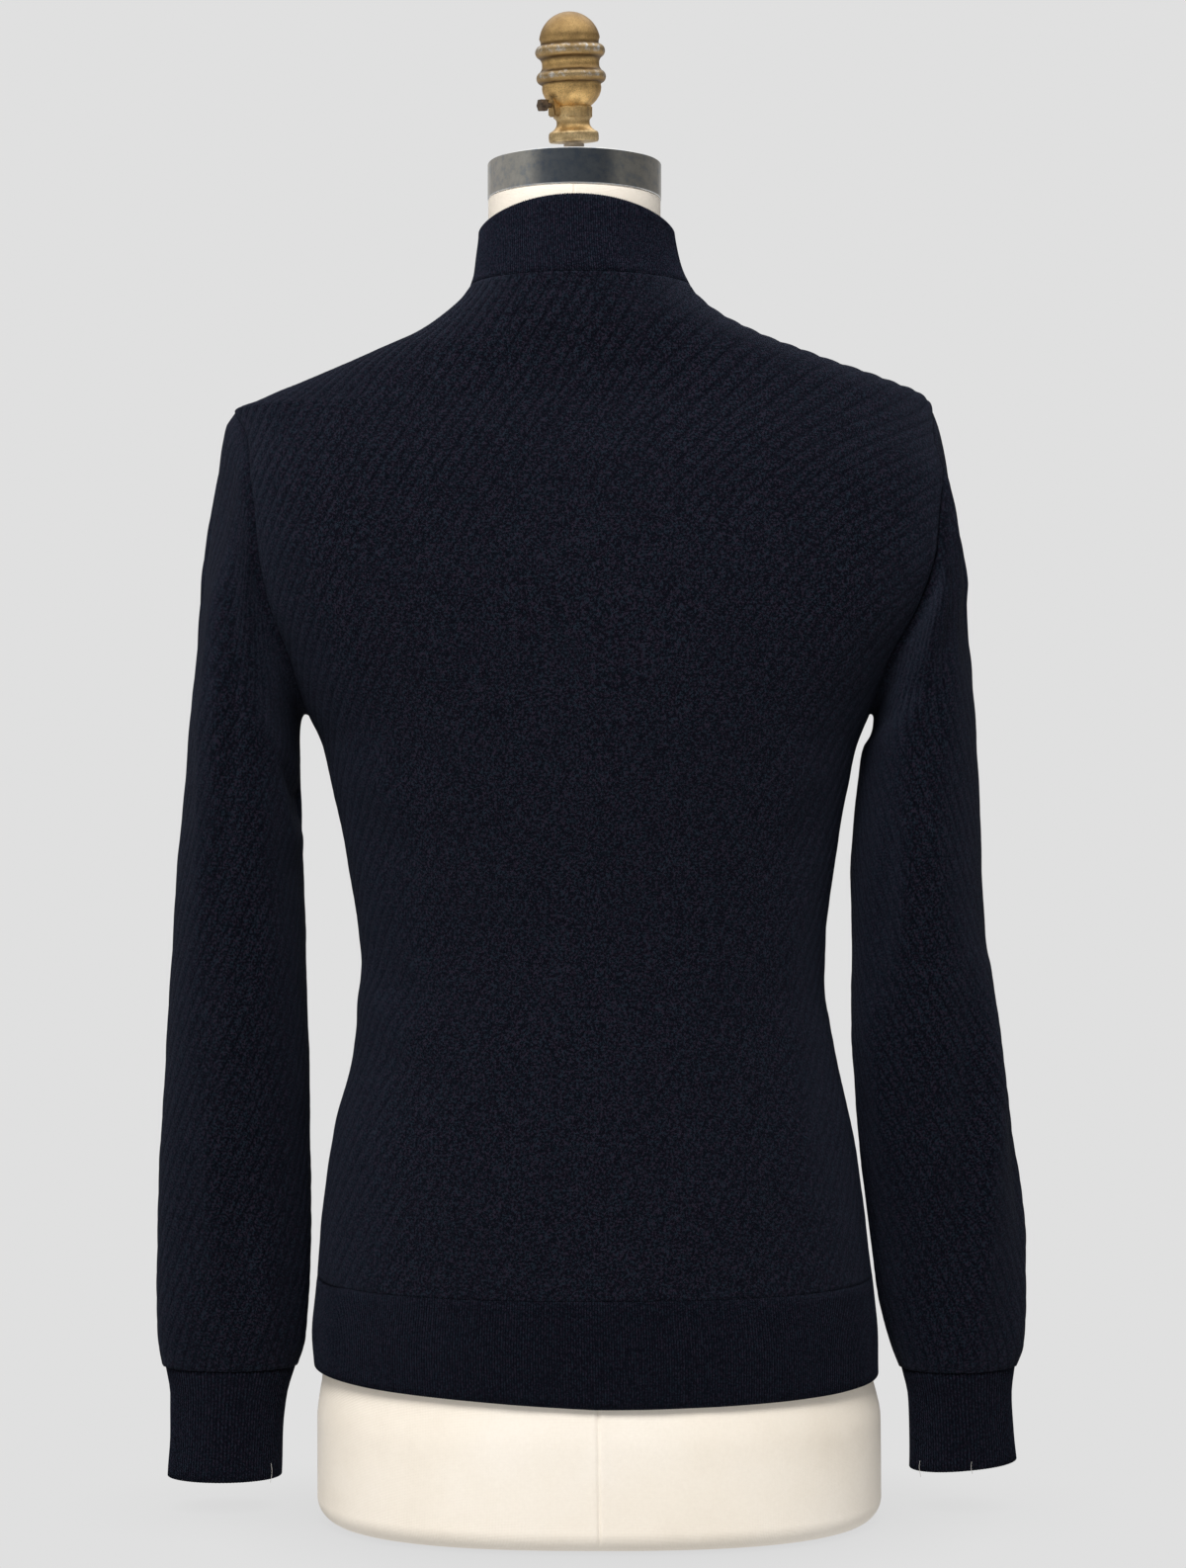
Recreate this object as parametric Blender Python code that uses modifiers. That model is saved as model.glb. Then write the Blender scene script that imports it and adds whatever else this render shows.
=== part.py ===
"""A full-zip sweater in diagonal rib, worn by a limbless dress form.

Metres, +Z up. The origin is the centre of the form's flat underside. The zip faces -Y, and the
wearer's left is +X. Tables are in millimetres, and every wall, seam and rib is worked out from them.
"""

import math
from collections import namedtuple

import bmesh
import bpy
import numpy as np
from mathutils import Matrix, Vector
from mathutils.geometry import delaunay_2d_cdt

MM = 0.001

# Cloth
WALL = 2.2 * MM
RIB_RISE = 0.7 * MM
BODY_RIB_PITCH = 9.6 * MM
RIB_ANGLE = math.radians(57)
SLEEVE_RIBS = 32
SLEEVE_RIB_TURN = math.radians(64)
SEAM = 0.3 * MM
NECK_SEAM_GAP = 0.5 * MM
UNDER_SEAM = 1.2 * MM

# Landmarks
HEM_LOW = 86.5 * MM
HEM_SEAM = 150 * MM
HEM_RISE_LEFT = 8.5 * MM
HEM_RISE_RIGHT = 3 * MM
ARMPIT = 497 * MM
SHOULDER_TIP = 687 * MM
NECK_SEAM = 766 * MM
NECK_DROP = 30 * MM
ARMHOLE_BACK = 62 * MM
ARMHOLE_FRONT = 58 * MM
COLLAR_TOP = 799 * MM
COLLAR_TILT = 14 * MM
COLLAR_WALL = 2.2 * MM

# Zip
ZIP_EDGE = 7 * MM
TAPE_INNER = 2.7 * MM
TAPE_OUTER = 6.6 * MM
CHAIN_HALF = 2.3 * MM
ZIP_SAG = 0.3 * MM

# The zip's box, slider and pull tab, in millimetres: width, depth and height
ZIP_BOX = (4.6, 3.4, 8.0)
ZIP_BOX_Z = 91.8
SLIDER_Z = 771.0
SLIDER_FRONT = (8.6, 1.4, 11.0)
SLIDER_BACK = (8.6, 1.2, 11.0)
SLIDER_WEDGE = (4.0, 5.4, 3.2)
PLATE_OUT = 2.0
PLATE_IN = 2.6
WEDGE_UP = 3.6
LUG_WIDE = 1.3
LUG_TALL = 3.0
LUG_APART = 2.7
PIN_OUT = 3.3
PIN_UP = 2.2
PIN_RADIUS = 0.7
PIN_LENGTH = 5.4
EYE_RADIUS = 1.05
EYE_BOSS = (3.6, 3.4, 3.4)
TAB_THICK = 1.2
TAB_NECK = 3.0
TAB_BLADE = 6.6
TAB_LENGTH = 24.0
TAB_CORNER = 2.0

# Dress form
FORM_FILLET = 13 * MM
FLANK_INSET = 5 * MM
NECK_RADIUS = 54.0 * MM
CAP_RADIUS = 54.4 * MM
CAP_LOW = 820.4 * MM
CAP_HIGH = 842.6 * MM
CAP_ROUND = 1.5 * MM
ROD_RADIUS = 6.4 * MM
FINIAL_LOW = 855.3 * MM
FINIAL_LEAN_BACK = math.radians(8)
FINIAL_LEAN_SIDE = math.radians(2.5)
ROD_SIDE = 0.3 * MM
NECK_SIDE = 1.5 * MM
SHARP = 38

# The form's points around, the heights of its sections, and those of its round neck
FORM_SIDES = 30
FORM_FILLET_SHARES = [0, 0.15, 0.5, 1]
FORM_ROWS = [35, 62, 86, 115, 160, 215, 270, 330, 390, 450, 510, 565, 615, 655, 680, 692, 702, 714,
             728, 742, 757]
FORM_NECK_ROWS = [774, 790, 820]

# The finial's profile from the top down, in millimetres: arcs as a centre's radius and height and
# the arc's own radius, and lines as points of radius and height
DOME = (0, 61.5, 19.2)
UPPER_RING = (17.7, 56.2, 4.2)
FINIAL_WAIST = [(18.6, 50.2), (18.6, 46.2)]
LOWER_RING = (17.6, 40.4, 4.2)
FINIAL_BOWL = [(18.6, 34), (17.2, 29.5), (11.6, 22.8)]
FINIAL_FOOT = [(11.6, 15.2), (10.4, 14.2), (10.4, 11.8), (14.6, 7.2), (15.5, 6), (15.5, 0.9),
               (0, 0.9)]
FINIAL_BLOCK = (10, 9, 11)
FINIAL_BLOCK_AT = (10.4, 0, 22)
SCREW_TURN = math.radians(30)
SCREW_AT = (18.0, 0, 23.4)
SHANK_RADIUS = 1.6
SHANK_LENGTH = 4.6
HEAD_RADIUS = 4.0
HEAD_LENGTH = 4.4
HEAD_OUT = 3.4

# The sweater's outside at each height: where its middle is, how far it reaches to the wearer's left
# and right of the origin, its depth in front and behind, how square it is, how far inside it the
# form lies, and how much further at the armhole.
Level = namedtuple("Level", "height middle left right front back square inset arm_inset")
BODY = [
    Level(0, 0.3, 176.1, 175.5, 112, 114, 2.5, 0, 0),
    Level(62, 1.0, 176.5, 175.3, 113.5, 115.5, 2.5, 0.3, 0),
    Level(86, 1.4, 177, 173.8, 114.5, 117, 2.5, 3.4, 0),
    Level(115, 1.9, 179, 173, 116, 118, 2.5, 4.6, 0),
    Level(146, 2.4, 176.3, 170.1, 113.5, 115.5, 2.5, 4.8, 0),
    Level(193, 3.1, 172.3, 164.3, 110, 111, 2.5, 4.8, 0),
    Level(239, 3.7, 166.2, 157.5, 105.5, 105, 2.5, 5, 0),
    Level(286, 4.3, 153.9, 146.9, 99, 96, 2.45, 5.8, 0),
    Level(332, 4.9, 149.9, 140.3, 95, 89.5, 2.4, 6.8, 0),
    Level(363, 5.3, 151.3, 140.7, 95.5, 88, 2.4, 6.9, 0),
    Level(410, 5.8, 158.7, 147.6, 100.5, 91, 2.4, 6.9, 0),
    Level(456, 6.4, 168, 155.6, 108, 96.5, 2.45, 6.7, 0),
    Level(478, 6.7, 173, 160, 111, 98.5, 2.5, 6.5, 0),
    Level(497, 6.9, 182, 167.5, 113, 100, 2.6, 6.4, 1),
    Level(530, 7.3, 196, 183, 113.5, 101, 3.0, 5.8, 6),
    Level(565, 7.7, 213, 206, 113, 101, 3.3, 5.2, 9),
    Level(600, 8.1, 222, 219.5, 109, 98, 3.4, 4.6, 10),
    Level(640, 8.6, 225, 222, 98, 91, 3.3, 4.2, 8),
    Level(668, 9.0, 226, 214.5, 83, 82, 2.8, 4.4, 3),
    Level(687, 9.3, 228.3, 208, 72, 73, 2.5, 5, 0),
    Level(692, 9.4, 215.8, 206.5, 70, 71, 2.4, 5, 0),
    Level(698, 9.5, 203, 200.5, 68.5, 69.5, 2.3, 5, 0),
    Level(704, 9.6, 188.8, 187.5, 67, 68, 2.25, 5, 0),
    Level(711, 9.8, 172.5, 168.8, 66, 67, 2.2, 5.4, 0),
    Level(723, 10.1, 144.8, 133.2, 66, 66.5, 2.15, 5.4, 0),
    Level(735, 10.5, 117.4, 101.8, 66, 66.5, 2.1, 5.4, 0),
    Level(748, 11.2, 98.2, 76.8, 64.5, 65, 2.05, 5.4, 0),
    Level(760, 12.0, 85.4, 61.8, 62, 62.5, 2, 5.2, 0),
    Level(772, 12.9, 78.5, 53.2, 60.5, 61, 2, 5.8, 0),
    Level(785, 13.9, 76.8, 48.9, 60, 60.5, 2, 6.6, 0),
    Level(800, 14.4, 75.2, 46.4, 60, 60, 2, 7, 0),
    Level(822, 14.9, 75.3, 45.5, 60, 60, 2, 6.8, 0),
]

# A sleeve from the armhole to the cuff seam: its outermost point and its underarm point on each
# ring, half its depth from front to back, and how far forward it hangs.
Ring = namedtuple("Ring", "out_x out_z under_x under_z half_depth fore")
SLEEVE_LEFT = [
    Ring(234.4, 677, 184.5, 498, 61, 0),
    Ring(237, 650, 186.6, 495.5, 61.5, 0),
    Ring(240, 613, 187.6, 490.5, 62, 0),
    Ring(246.3, 572, 188.2, 485.5, 62.5, 1),
    Ring(252, 530, 188.5, 480, 63, 1),
    Ring(257, 490, 188.6, 471, 62.5, 2),
    Ring(261, 444, 188.4, 440, 60, 3),
    Ring(264.5, 400, 187, 400, 56, 4),
    Ring(271.3, 305, 183.7, 305, 48, 6),
    Ring(274.6, 255, 182.6, 255, 43.5, 7),
    Ring(278.7, 160, 182.4, 160, 35, 9),
    Ring(278.8, 125, 184, 125, 33, 9),
    Ring(278, 103, 186.2, 103, 31, 9.5),
    Ring(276, 89.4, 190.2, 89.4, 29, 10),
]
SLEEVE_RIGHT = [
    Ring(211.4, 677, 169.8, 498, 61, 0),
    Ring(216.8, 650, 171.5, 495.5, 61.5, 0),
    Ring(219.8, 613, 171, 489.5, 62, 0),
    Ring(225.4, 572, 169.6, 484, 62.5, 1),
    Ring(230.8, 530, 166, 477.5, 63, 1),
    Ring(235.3, 490, 164, 469, 62.5, 2),
    Ring(239.8, 398, 158, 398, 56, 4),
    Ring(242.2, 355, 158.8, 355, 52, 5),
    Ring(249.4, 305, 158.9, 303, 48, 6),
    Ring(257, 255, 161.2, 255, 43.5, 7),
    Ring(268.2, 160, 171.6, 160, 35, 9),
    Ring(268.5, 127, 176.5, 127, 33, 9),
    Ring(267, 103, 183.5, 101, 31, 9.5),
    Ring(263, 89.8, 188.6, 87.8, 29, 10),
]
CUFF_LEFT = [
    Ring(273.6, 89.0, 192, 89.0, 28, 10),
    Ring(270.4, 69, 197.8, 69, 25.5, 10),
    Ring(270.6, 45, 200, 45, 25, 10.5),
    Ring(272.4, 19.5, 201, 19.5, 25.5, 11),
]
CUFF_RIGHT = [
    Ring(261.2, 89.4, 190.2, 87.4, 28, 10),
    Ring(259.2, 70, 194.7, 68, 25.5, 10),
    Ring(260.8, 48, 195.8, 45, 25, 10.5),
    Ring(262.4, 30, 195.5, 24, 25.5, 11),
]
RING_SQUARE = 2.15

# The armhole's middle, and how much each ring below it follows the seam's own bulge.
ARMHOLE_MIDDLE = (200, 592)
ARMHOLE_PULL = [1, 0.95, 0.75, 0.5, 0.25]

# The largest folds: a trough has a negative rise. A turn of 0 is the sleeve's outermost line and
# 90 is its back.
Fold = namedtuple("Fold", "high low turn_high turn_low width rise")
FOLDS_LEFT = [
    Fold(660, 330, 48, 60, 11, 2.6),
    Fold(540, 300, 88, 84, 12, -2.4),
    Fold(480, 380, 128, 118, 12, 1.8),
    Fold(560, 330, -70, -58, 13, 2.2),
    Fold(500, 260, -104, -96, 13, -2.0),
]
FOLDS_RIGHT = [
    Fold(640, 420, 66, 96, 13, -2.6),
    Fold(350, 100, 26, 66, 12, 2.4),
    Fold(340, 120, 2, 34, 11, -2.2),
    Fold(330, 230, 150, 142, 13, 1.8),
    Fold(600, 300, -72, -60, 13, 2.2),
    Fold(420, 180, -110, -100, 14, -2.0),
]

# Body panels: how far apart points may be chosen on a rib, how far a chord may leave the curve
# outside and inside, and the heights of the rows inside.
RIB_STEP = 4 * MM
EDGE_SAG = 0.4 * MM
OUTSIDE_SAG = 1.3 * MM
SHOULDER_SAG = 0.7 * MM
SHOULDER_LOW = 655 * MM
INSIDE_SAG = 0.9 * MM
INSIDE_LONGEST = 46 * MM
INSIDE_ROWS = [190, 235, 280, 325, 368, 412, 455, 485, 515, 550, 590, 630, 658, 676, 687, 694, 702,
               712, 724, 736, 747]
INSIDE_CLEAR = 7 * MM
NEAR = 1.1 * MM

# Colours
COLOURS = {
    "navy_knit": ((0.0078, 0.0088, 0.0142, 1), 0.9, 0),
    "form_linen": ((0.80, 0.73, 0.63, 1), 0.8, 0),
    "chrome": ((0.55, 0.55, 0.56, 1), 0.1, 1),
    "steel": ((0.45, 0.44, 0.43, 1), 0.3, 1),
    "aged_brass": ((0.46, 0.31, 0.13, 1), 0.38, 1),
    "dark_steel": ((0.06, 0.045, 0.035, 1), 0.45, 1),
    "zip_tape": ((0.0075, 0.0085, 0.0135, 1), 0.85, 0),
    "zip_metal": ((0.16, 0.16, 0.17, 1), 0.35, 1),
}


def start():
    """Empties the scene and returns the part's collection and the cutters' collection."""
    for old in list(bpy.data.objects):
        bpy.data.objects.remove(old, do_unlink=True)
    made = []
    for name in ("full_zip_sweater", "cutters"):
        collection = bpy.data.collections.new(name)
        bpy.context.scene.collection.children.link(collection)
        made.append(collection)
    return made


PART, CUTTERS = start()


def material(name):
    """The Principled material of one finish, made once."""
    found = bpy.data.materials.get(name)
    if found:
        return found
    colour, roughness, metallic = COLOURS[name]
    made = bpy.data.materials.new(name)
    made.use_nodes = True
    shader = made.node_tree.nodes["Principled BSDF"]
    shader.inputs["Base Color"].default_value = colour
    shader.inputs["Roughness"].default_value = roughness
    shader.inputs["Metallic"].default_value = metallic
    made.diffuse_color = colour
    return made


def place(name, mesh, finish):
    """An object of the part with its own finish."""
    made = bpy.data.objects.new(name, mesh)
    PART.objects.link(made)
    mesh.materials.clear()
    mesh.materials.append(material(finish))
    return made


# Curves through the tables


def smooth(heights, values):
    """A smooth curve through rows that never overshoots them."""
    x, y = np.array(heights, float), np.array(values, float)
    step = np.diff(x)
    slope = np.diff(y) / step
    tangent = np.zeros_like(y)
    tangent[0], tangent[-1] = slope[0], slope[-1]
    for i in range(1, len(x) - 1):
        if slope[i - 1] * slope[i] > 0:
            before = 2 * step[i] + step[i - 1]
            after = step[i] + 2 * step[i - 1]
            tangent[i] = (before + after) / (before / slope[i - 1] + after / slope[i])

    def curve(at):
        at = np.clip(at, x[0], x[-1])
        i = np.clip(np.searchsorted(x, at, side="right") - 1, 0, len(step) - 1)
        t = (at - x[i]) / step[i]
        start_part = (1 + 2 * t) * (1 - t) ** 2 * y[i] + t * (1 - t) ** 2 * step[i] * tangent[i]
        end_part = t * t * (3 - 2 * t) * y[i + 1] + t * t * (t - 1) * step[i] * tangent[i + 1]
        return start_part + end_part

    return curve


def body_column(name):
    """One column of the body table as a curve over the height, in metres where it is a size."""
    scale = 1 if name == "square" else MM
    heights = [row.height * MM for row in BODY]
    return smooth(heights, [getattr(row, name) * scale for row in BODY])


MIDDLE, LEFT, RIGHT, FRONT, BACK, SQUARE, INSET, ARM_INSET = (
    body_column(name) for name in Level._fields[1:]
)


def half_width(side, z):
    """The reach from the sweater's middle to the wearer's left (a positive side) or right."""
    return np.where(side >= 0, LEFT(z) - MIDDLE(z), RIGHT(z) + MIDDLE(z))


def body(turn, z):
    """The sweater's outside at a turn around the body (0 at +X, 90 degrees behind) and a height."""
    c, s = np.cos(turn), np.sin(turn)
    depth = np.where(s >= 0, BACK(z), FRONT(z))
    power = SQUARE(z)
    reach = (np.abs(c / half_width(c, z)) ** power + np.abs(s / depth) ** power) ** (-1 / power)
    return np.stack([MIDDLE(z) + reach * c, reach * s, z + 0 * reach], axis=-1)


def body_field(p):
    """One on the sweater's outside, and more further out."""
    x, y, z = p[..., 0] - MIDDLE(p[..., 2]), p[..., 1], p[..., 2]
    depth = np.where(y >= 0, BACK(z), FRONT(z))
    power = SQUARE(z)
    return np.abs(x / half_width(x, z)) ** power + np.abs(y / depth) ** power


def body_normal(p):
    """The direction out of the sweater's outside."""
    probe = 0.4 * MM
    slopes = []
    for axis in np.eye(3):
        slopes.append(body_field(p + axis * probe) - body_field(p - axis * probe))
    normal = np.stack(slopes, axis=-1)
    return normal / np.linalg.norm(normal, axis=-1, keepdims=True)


HALF_TURN_STEPS = 90


def girths(z, front, side):
    """The turns from the middle of the front or back round one side, and the length to each."""
    share = np.linspace(0, 1, HALF_TURN_STEPS + 1)
    begin = -math.pi / 2 if front else math.pi / 2
    away = side if front else -side
    turns = begin + away * math.pi * share
    z = np.atleast_1d(z)
    points = body(turns[None, :], z[:, None])
    lengths = np.linalg.norm(np.diff(points, axis=1), axis=-1)
    total = np.concatenate([np.zeros((len(z), 1)), np.cumsum(lengths, axis=1)], axis=1)
    return turns, total


def turn_at(along, z, front):
    """The turn of each point that lies so far along from the middle of the front or back."""
    along, z = np.atleast_1d(along).astype(float), np.atleast_1d(z).astype(float)
    result = np.zeros_like(along)
    for side in (1, -1):
        chosen = np.nonzero((along >= 0) if side > 0 else (along < 0))[0]
        for part in np.array_split(chosen, max(1, len(chosen) // 4000)):
            if len(part) == 0:
                continue
            turns, total = girths(z[part], front, side)
            length = np.abs(along[part])
            i = np.clip((total < length[:, None]).sum(axis=1) - 1, 0, HALF_TURN_STEPS - 1)
            row = np.arange(len(part))
            share = (length - total[row, i]) / (total[row, i + 1] - total[row, i])
            result[part] = turns[i] + (turns[i + 1] - turns[i]) * share
    return result


def along_at(turn, z, front):
    """How far along from the middle of the front or back each turn lies."""
    turn, z = np.atleast_1d(turn).astype(float), np.atleast_1d(z).astype(float)
    begin = -math.pi / 2 if front else math.pi / 2
    off = np.angle(np.exp(1j * (turn - begin)))
    result = np.zeros_like(turn)
    for side in (1, -1):
        away = side if front else -side
        chosen = np.nonzero(off * away >= 0 if side > 0 else off * away > 0)[0]
        if len(chosen) == 0:
            continue
        _, total = girths(z[chosen], front, side)
        place = np.abs(off[chosen]) / math.pi * HALF_TURN_STEPS
        i = np.clip(place.astype(int), 0, HALF_TURN_STEPS - 1)
        row = np.arange(len(chosen))
        length = total[row, i] + (total[row, i + 1] - total[row, i]) * (place - i)
        result[chosen] = side * length
    return result


# The armholes


def armhole_point(side, share):
    """A point of the armhole seam: share 0 is the shoulder, 90 degrees the back, 180 the armpit."""
    middle, half = (SHOULDER_TIP + ARMPIT) / 2, (SHOULDER_TIP - ARMPIT) / 2
    z = middle + half * np.cos(share)
    s = np.sin(share)
    y = np.where(s >= 0, ARMHOLE_BACK, ARMHOLE_FRONT) * s
    depth = np.where(s >= 0, BACK(z), FRONT(z))
    power = SQUARE(z)
    reach = half_width(side, z) * (1 - (np.abs(y) / depth) ** power) ** (1 / power)
    return np.stack([MIDDLE(z) + side * reach, y, z], axis=-1)


def neck_seam(turn):
    """The height of the neck seam, which drops in front."""
    return NECK_SEAM - NECK_DROP * np.maximum(0, -np.sin(turn)) ** 1.5


# Mesh helpers


class Shell:
    """Points and triangles of one closed cloth wall."""

    def __init__(self):
        self.points = []
        self.faces = []

    def add(self, points):
        first = len(self.points)
        self.points.extend(np.asarray(points, float).reshape(-1, 3))
        return list(range(first, len(self.points)))

    def apart(self, one, other):
        return float(np.linalg.norm(self.points[one] - self.points[other]))

    def zip(self, one, other):
        """Fills the strip between two rows of points, with the shorter of its two crossings."""
        i = j = 0
        while i < len(one) - 1 or j < len(other) - 1:
            step_one, step_other = math.inf, math.inf
            if i < len(one) - 1:
                step_one = self.apart(one[i + 1], other[j])
            if j < len(other) - 1:
                step_other = self.apart(one[i], other[j + 1])
            if step_one < step_other:
                self.faces.append((one[i], one[i + 1], other[j]))
                i += 1
            else:
                self.faces.append((one[i], other[j + 1], other[j]))
                j += 1

    def build(self, name, finish):
        mesh = bpy.data.meshes.new(name)
        mesh.from_pydata([tuple(p) for p in self.points], [], self.faces)
        work = bmesh.new()
        work.from_mesh(mesh)
        bmesh.ops.recalc_face_normals(work, faces=work.faces)
        work.to_mesh(mesh)
        work.free()
        return place(name, mesh, finish)


def loft(name, outer, inner, finish, closed):
    """A wall between an outer and an inner grid, each a list of rings or rows with equal counts."""
    shell = Shell()
    skins = []
    for grid in (outer, inner):
        skins.append([shell.add(row) for row in grid])
    for rows in skins:
        for low, high in zip(rows, rows[1:]):
            across = list(range(len(low)))
            pairs = list(zip(across, across[1:]))
            if closed:
                pairs.append((across[-1], 0))
            for a, b in pairs:
                shell.faces.append((low[a], low[b], high[b]))
                shell.faces.append((low[a], high[b], high[a]))
    for out_row, in_row in ((skins[0][0], skins[1][0]), (skins[0][-1], skins[1][-1])):
        out_loop, in_loop = list(out_row), list(in_row)
        if closed:
            out_loop.append(out_row[0])
            in_loop.append(in_row[0])
        shell.zip(out_loop, in_loop)
    if not closed:
        for end in (0, -1):
            shell.zip([row[end] for row in skins[0]], [row[end] for row in skins[1]])
    return shell.build(name, finish)


# Ribbed body panels. Their cut is laid out flat: how far along from the middle, and the height.


def armhole_edge(side, front):
    """The cut's armhole from the armpit up to the shoulder, half a seam in."""
    share = np.linspace(math.pi, 0, 260) * (-1 if front else 1)
    point = armhole_point(side, share)
    turn = np.arctan2(point[:, 1], point[:, 0] - MIDDLE(point[:, 2]))
    flat = np.stack([along_at(turn, point[:, 2], front), point[:, 2]], axis=-1)
    tangent = np.gradient(flat, axis=0)
    tangent /= np.linalg.norm(tangent, axis=-1, keepdims=True)
    inward = np.stack([-tangent[:, 1], tangent[:, 0]], axis=-1) * side
    return flat + inward * SEAM / 2


def seam_edge(side, front, low, high):
    """The cut's side seam or shoulder seam between two heights, half a seam in."""
    z = np.arange(low, high, MM)
    z = np.append(z, high)
    turn = 0.0 if side > 0 else math.pi
    along = along_at(np.full(len(z), turn), z, front)
    return np.stack([along - side * SEAM / 2, z], axis=-1)


def neck_edge(front, begin, end):
    """The cut's neck seam between two turns."""
    turn = np.linspace(begin, end, 160)
    z = neck_seam(turn) - NECK_SEAM_GAP / 2
    return np.stack([along_at(turn, z, front), z], axis=-1)


def panel_outline(front, side):
    """The cut's edges in order, each with the longest step between points both faces share."""
    low = HEM_SEAM + SEAM / 2
    high = float(neck_seam(0.0)) - NECK_SEAM_GAP / 2

    def flank(way):
        return [
            (seam_edge(way, front, low, ARMPIT - SEAM / 2), 34 * MM),
            (armhole_edge(way, front), 11 * MM),
            (seam_edge(way, front, SHOULDER_TIP + SEAM / 2, high), 20 * MM),
        ]

    if not front:
        up = flank(1)
        down = [(edge[::-1], gap) for edge, gap in reversed(flank(-1))]
        edges = up + [(neck_edge(False, 0.0, math.pi), 15 * MM)] + down
    else:
        begin = 0.0 if side > 0 else -math.pi
        z_top = float(neck_seam(-math.pi / 2)) - NECK_SEAM_GAP / 2
        end = float(turn_at(np.array([side * ZIP_EDGE]), np.array([z_top]), True)[0])
        neck = neck_edge(True, begin, end)
        zip_z = np.linspace(neck[-1][1], low, 200)
        zip_edge = np.stack([np.full(200, side * ZIP_EDGE), zip_z], axis=-1)
        edges = flank(side) + [(neck, 15 * MM), (zip_edge, 34 * MM)]
    for (one, _), (other, _) in zip(edges, edges[1:]):
        joint = (one[-1] + other[0]) / 2
        one[-1] = joint
        other[0] = joint
    bottom = np.linspace(edges[-1][0][-1], edges[0][0][0], 150)
    return edges + [(bottom, 24 * MM)]


def rib_wave(along, z, slope):
    """One on a ridge and nought in a valley."""
    half_pitch = BODY_RIB_PITCH / 2 / math.sin(RIB_ANGLE)
    return np.abs(((along - slope * z) / half_pitch) % 2 - 1)


def crossings(edge, slope, half_pitch):
    """Where the rib lines cross an edge: the line, and how far along the edge."""
    value = (edge[:, 0] - slope * edge[:, 1]) / half_pitch
    found = []
    for i, (one, other) in enumerate(zip(value, value[1:])):
        for line in range(math.ceil(min(one, other)), math.floor(max(one, other)) + 1):
            if abs(other - one) > 1e-9:
                found.append((line, i + (line - one) / (other - one)))
    return found


def on_edge(edge, place):
    i = min(int(place), len(edge) - 2)
    return edge[i] + (edge[i + 1] - edge[i]) * (place - i)


def body_panel(name, front, side=0):
    """A panel with a ridge or valley on each rib line outside, and a plain inside."""
    slope = (-1 if not front else side) / math.tan(RIB_ANGLE)
    half_pitch = BODY_RIB_PITCH / 2 / math.sin(RIB_ANGLE)
    loop, shared, ends = [], [], {}
    for edge, longest in panel_outline(front, side):
        marks = few(body(turn_at(edge[:, 0], edge[:, 1], front), edge[:, 1]), EDGE_SAG, longest)
        if len(marks) > 2:
            marks[-2] = (marks[-3] + marks[-1]) // 2
        fixed = [(float(mark), None) for mark in marks[:-1]]
        both = fixed + [(place, line) for line, place in crossings(edge, slope, half_pitch)]
        both.sort(key=lambda item: item[0])
        first = len(loop)
        for place, line in both:
            point = on_edge(edge, place)
            close = len(loop) > first and np.linalg.norm(loop[-1] - point) < NEAR
            if line is None:
                if close and shared[-1] != len(loop) - 1:
                    loop[-1] = point
                else:
                    loop.append(point)
                shared.append(len(loop) - 1)
            else:
                if not close:
                    loop.append(point)
                ends.setdefault(line, []).append((point[1], len(loop) - 1))
    tracks = []
    for line, found in ends.items():
        found.sort()
        for (low, one), (high, other) in zip(found[::2], found[1::2]):
            if one == other:
                continue
            z = np.concatenate([[low], np.arange(math.ceil((low + RIB_STEP) / RIB_STEP) * RIB_STEP,
                                                 high - RIB_STEP, RIB_STEP), [high]])
            along = line * half_pitch + slope * z
            sag = np.where(z > SHOULDER_LOW, SHOULDER_SAG, OUTSIDE_SAG)
            kept = few(body(turn_at(along, z, front), z), sag)[1:-1]
            tracks.append((one, [(along[i], z[i]) for i in kept], other))

    shell = Shell()
    outer = fill_skin(shell, loop, tracks, front, slope, True)
    coarse = [loop[i] for i in shared]
    plain = inside_points(front, coarse)
    inner = fill_skin(shell, coarse, [(None, plain, None)], front, slope, False)
    for i, (one, other) in enumerate(zip(shared, shared[1:] + [shared[0] + len(loop)])):
        chain = [outer[j % len(loop)] for j in range(one, other + 1)]
        shell.zip(chain, [inner[i], inner[(i + 1) % len(shared)]])
    return shell.build(name, "navy_knit")


def few(points, sag, longest=math.inf):
    """The fewest of a curve's points whose chords stay close to it."""
    sag = np.zeros(len(points)) + sag
    kept = [0]
    while kept[-1] < len(points) - 1:
        first = kept[-1]
        last = first + 1
        while last + 1 < len(points):
            chord = points[last + 1] - points[first]
            length = np.linalg.norm(chord)
            off = np.cross(points[first + 1:last + 1] - points[first], chord / length)
            over = np.linalg.norm(off, axis=1) > sag[first + 1:last + 1]
            if length > longest or over.any():
                break
            last += 1
        kept.append(last)
    return kept


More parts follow.
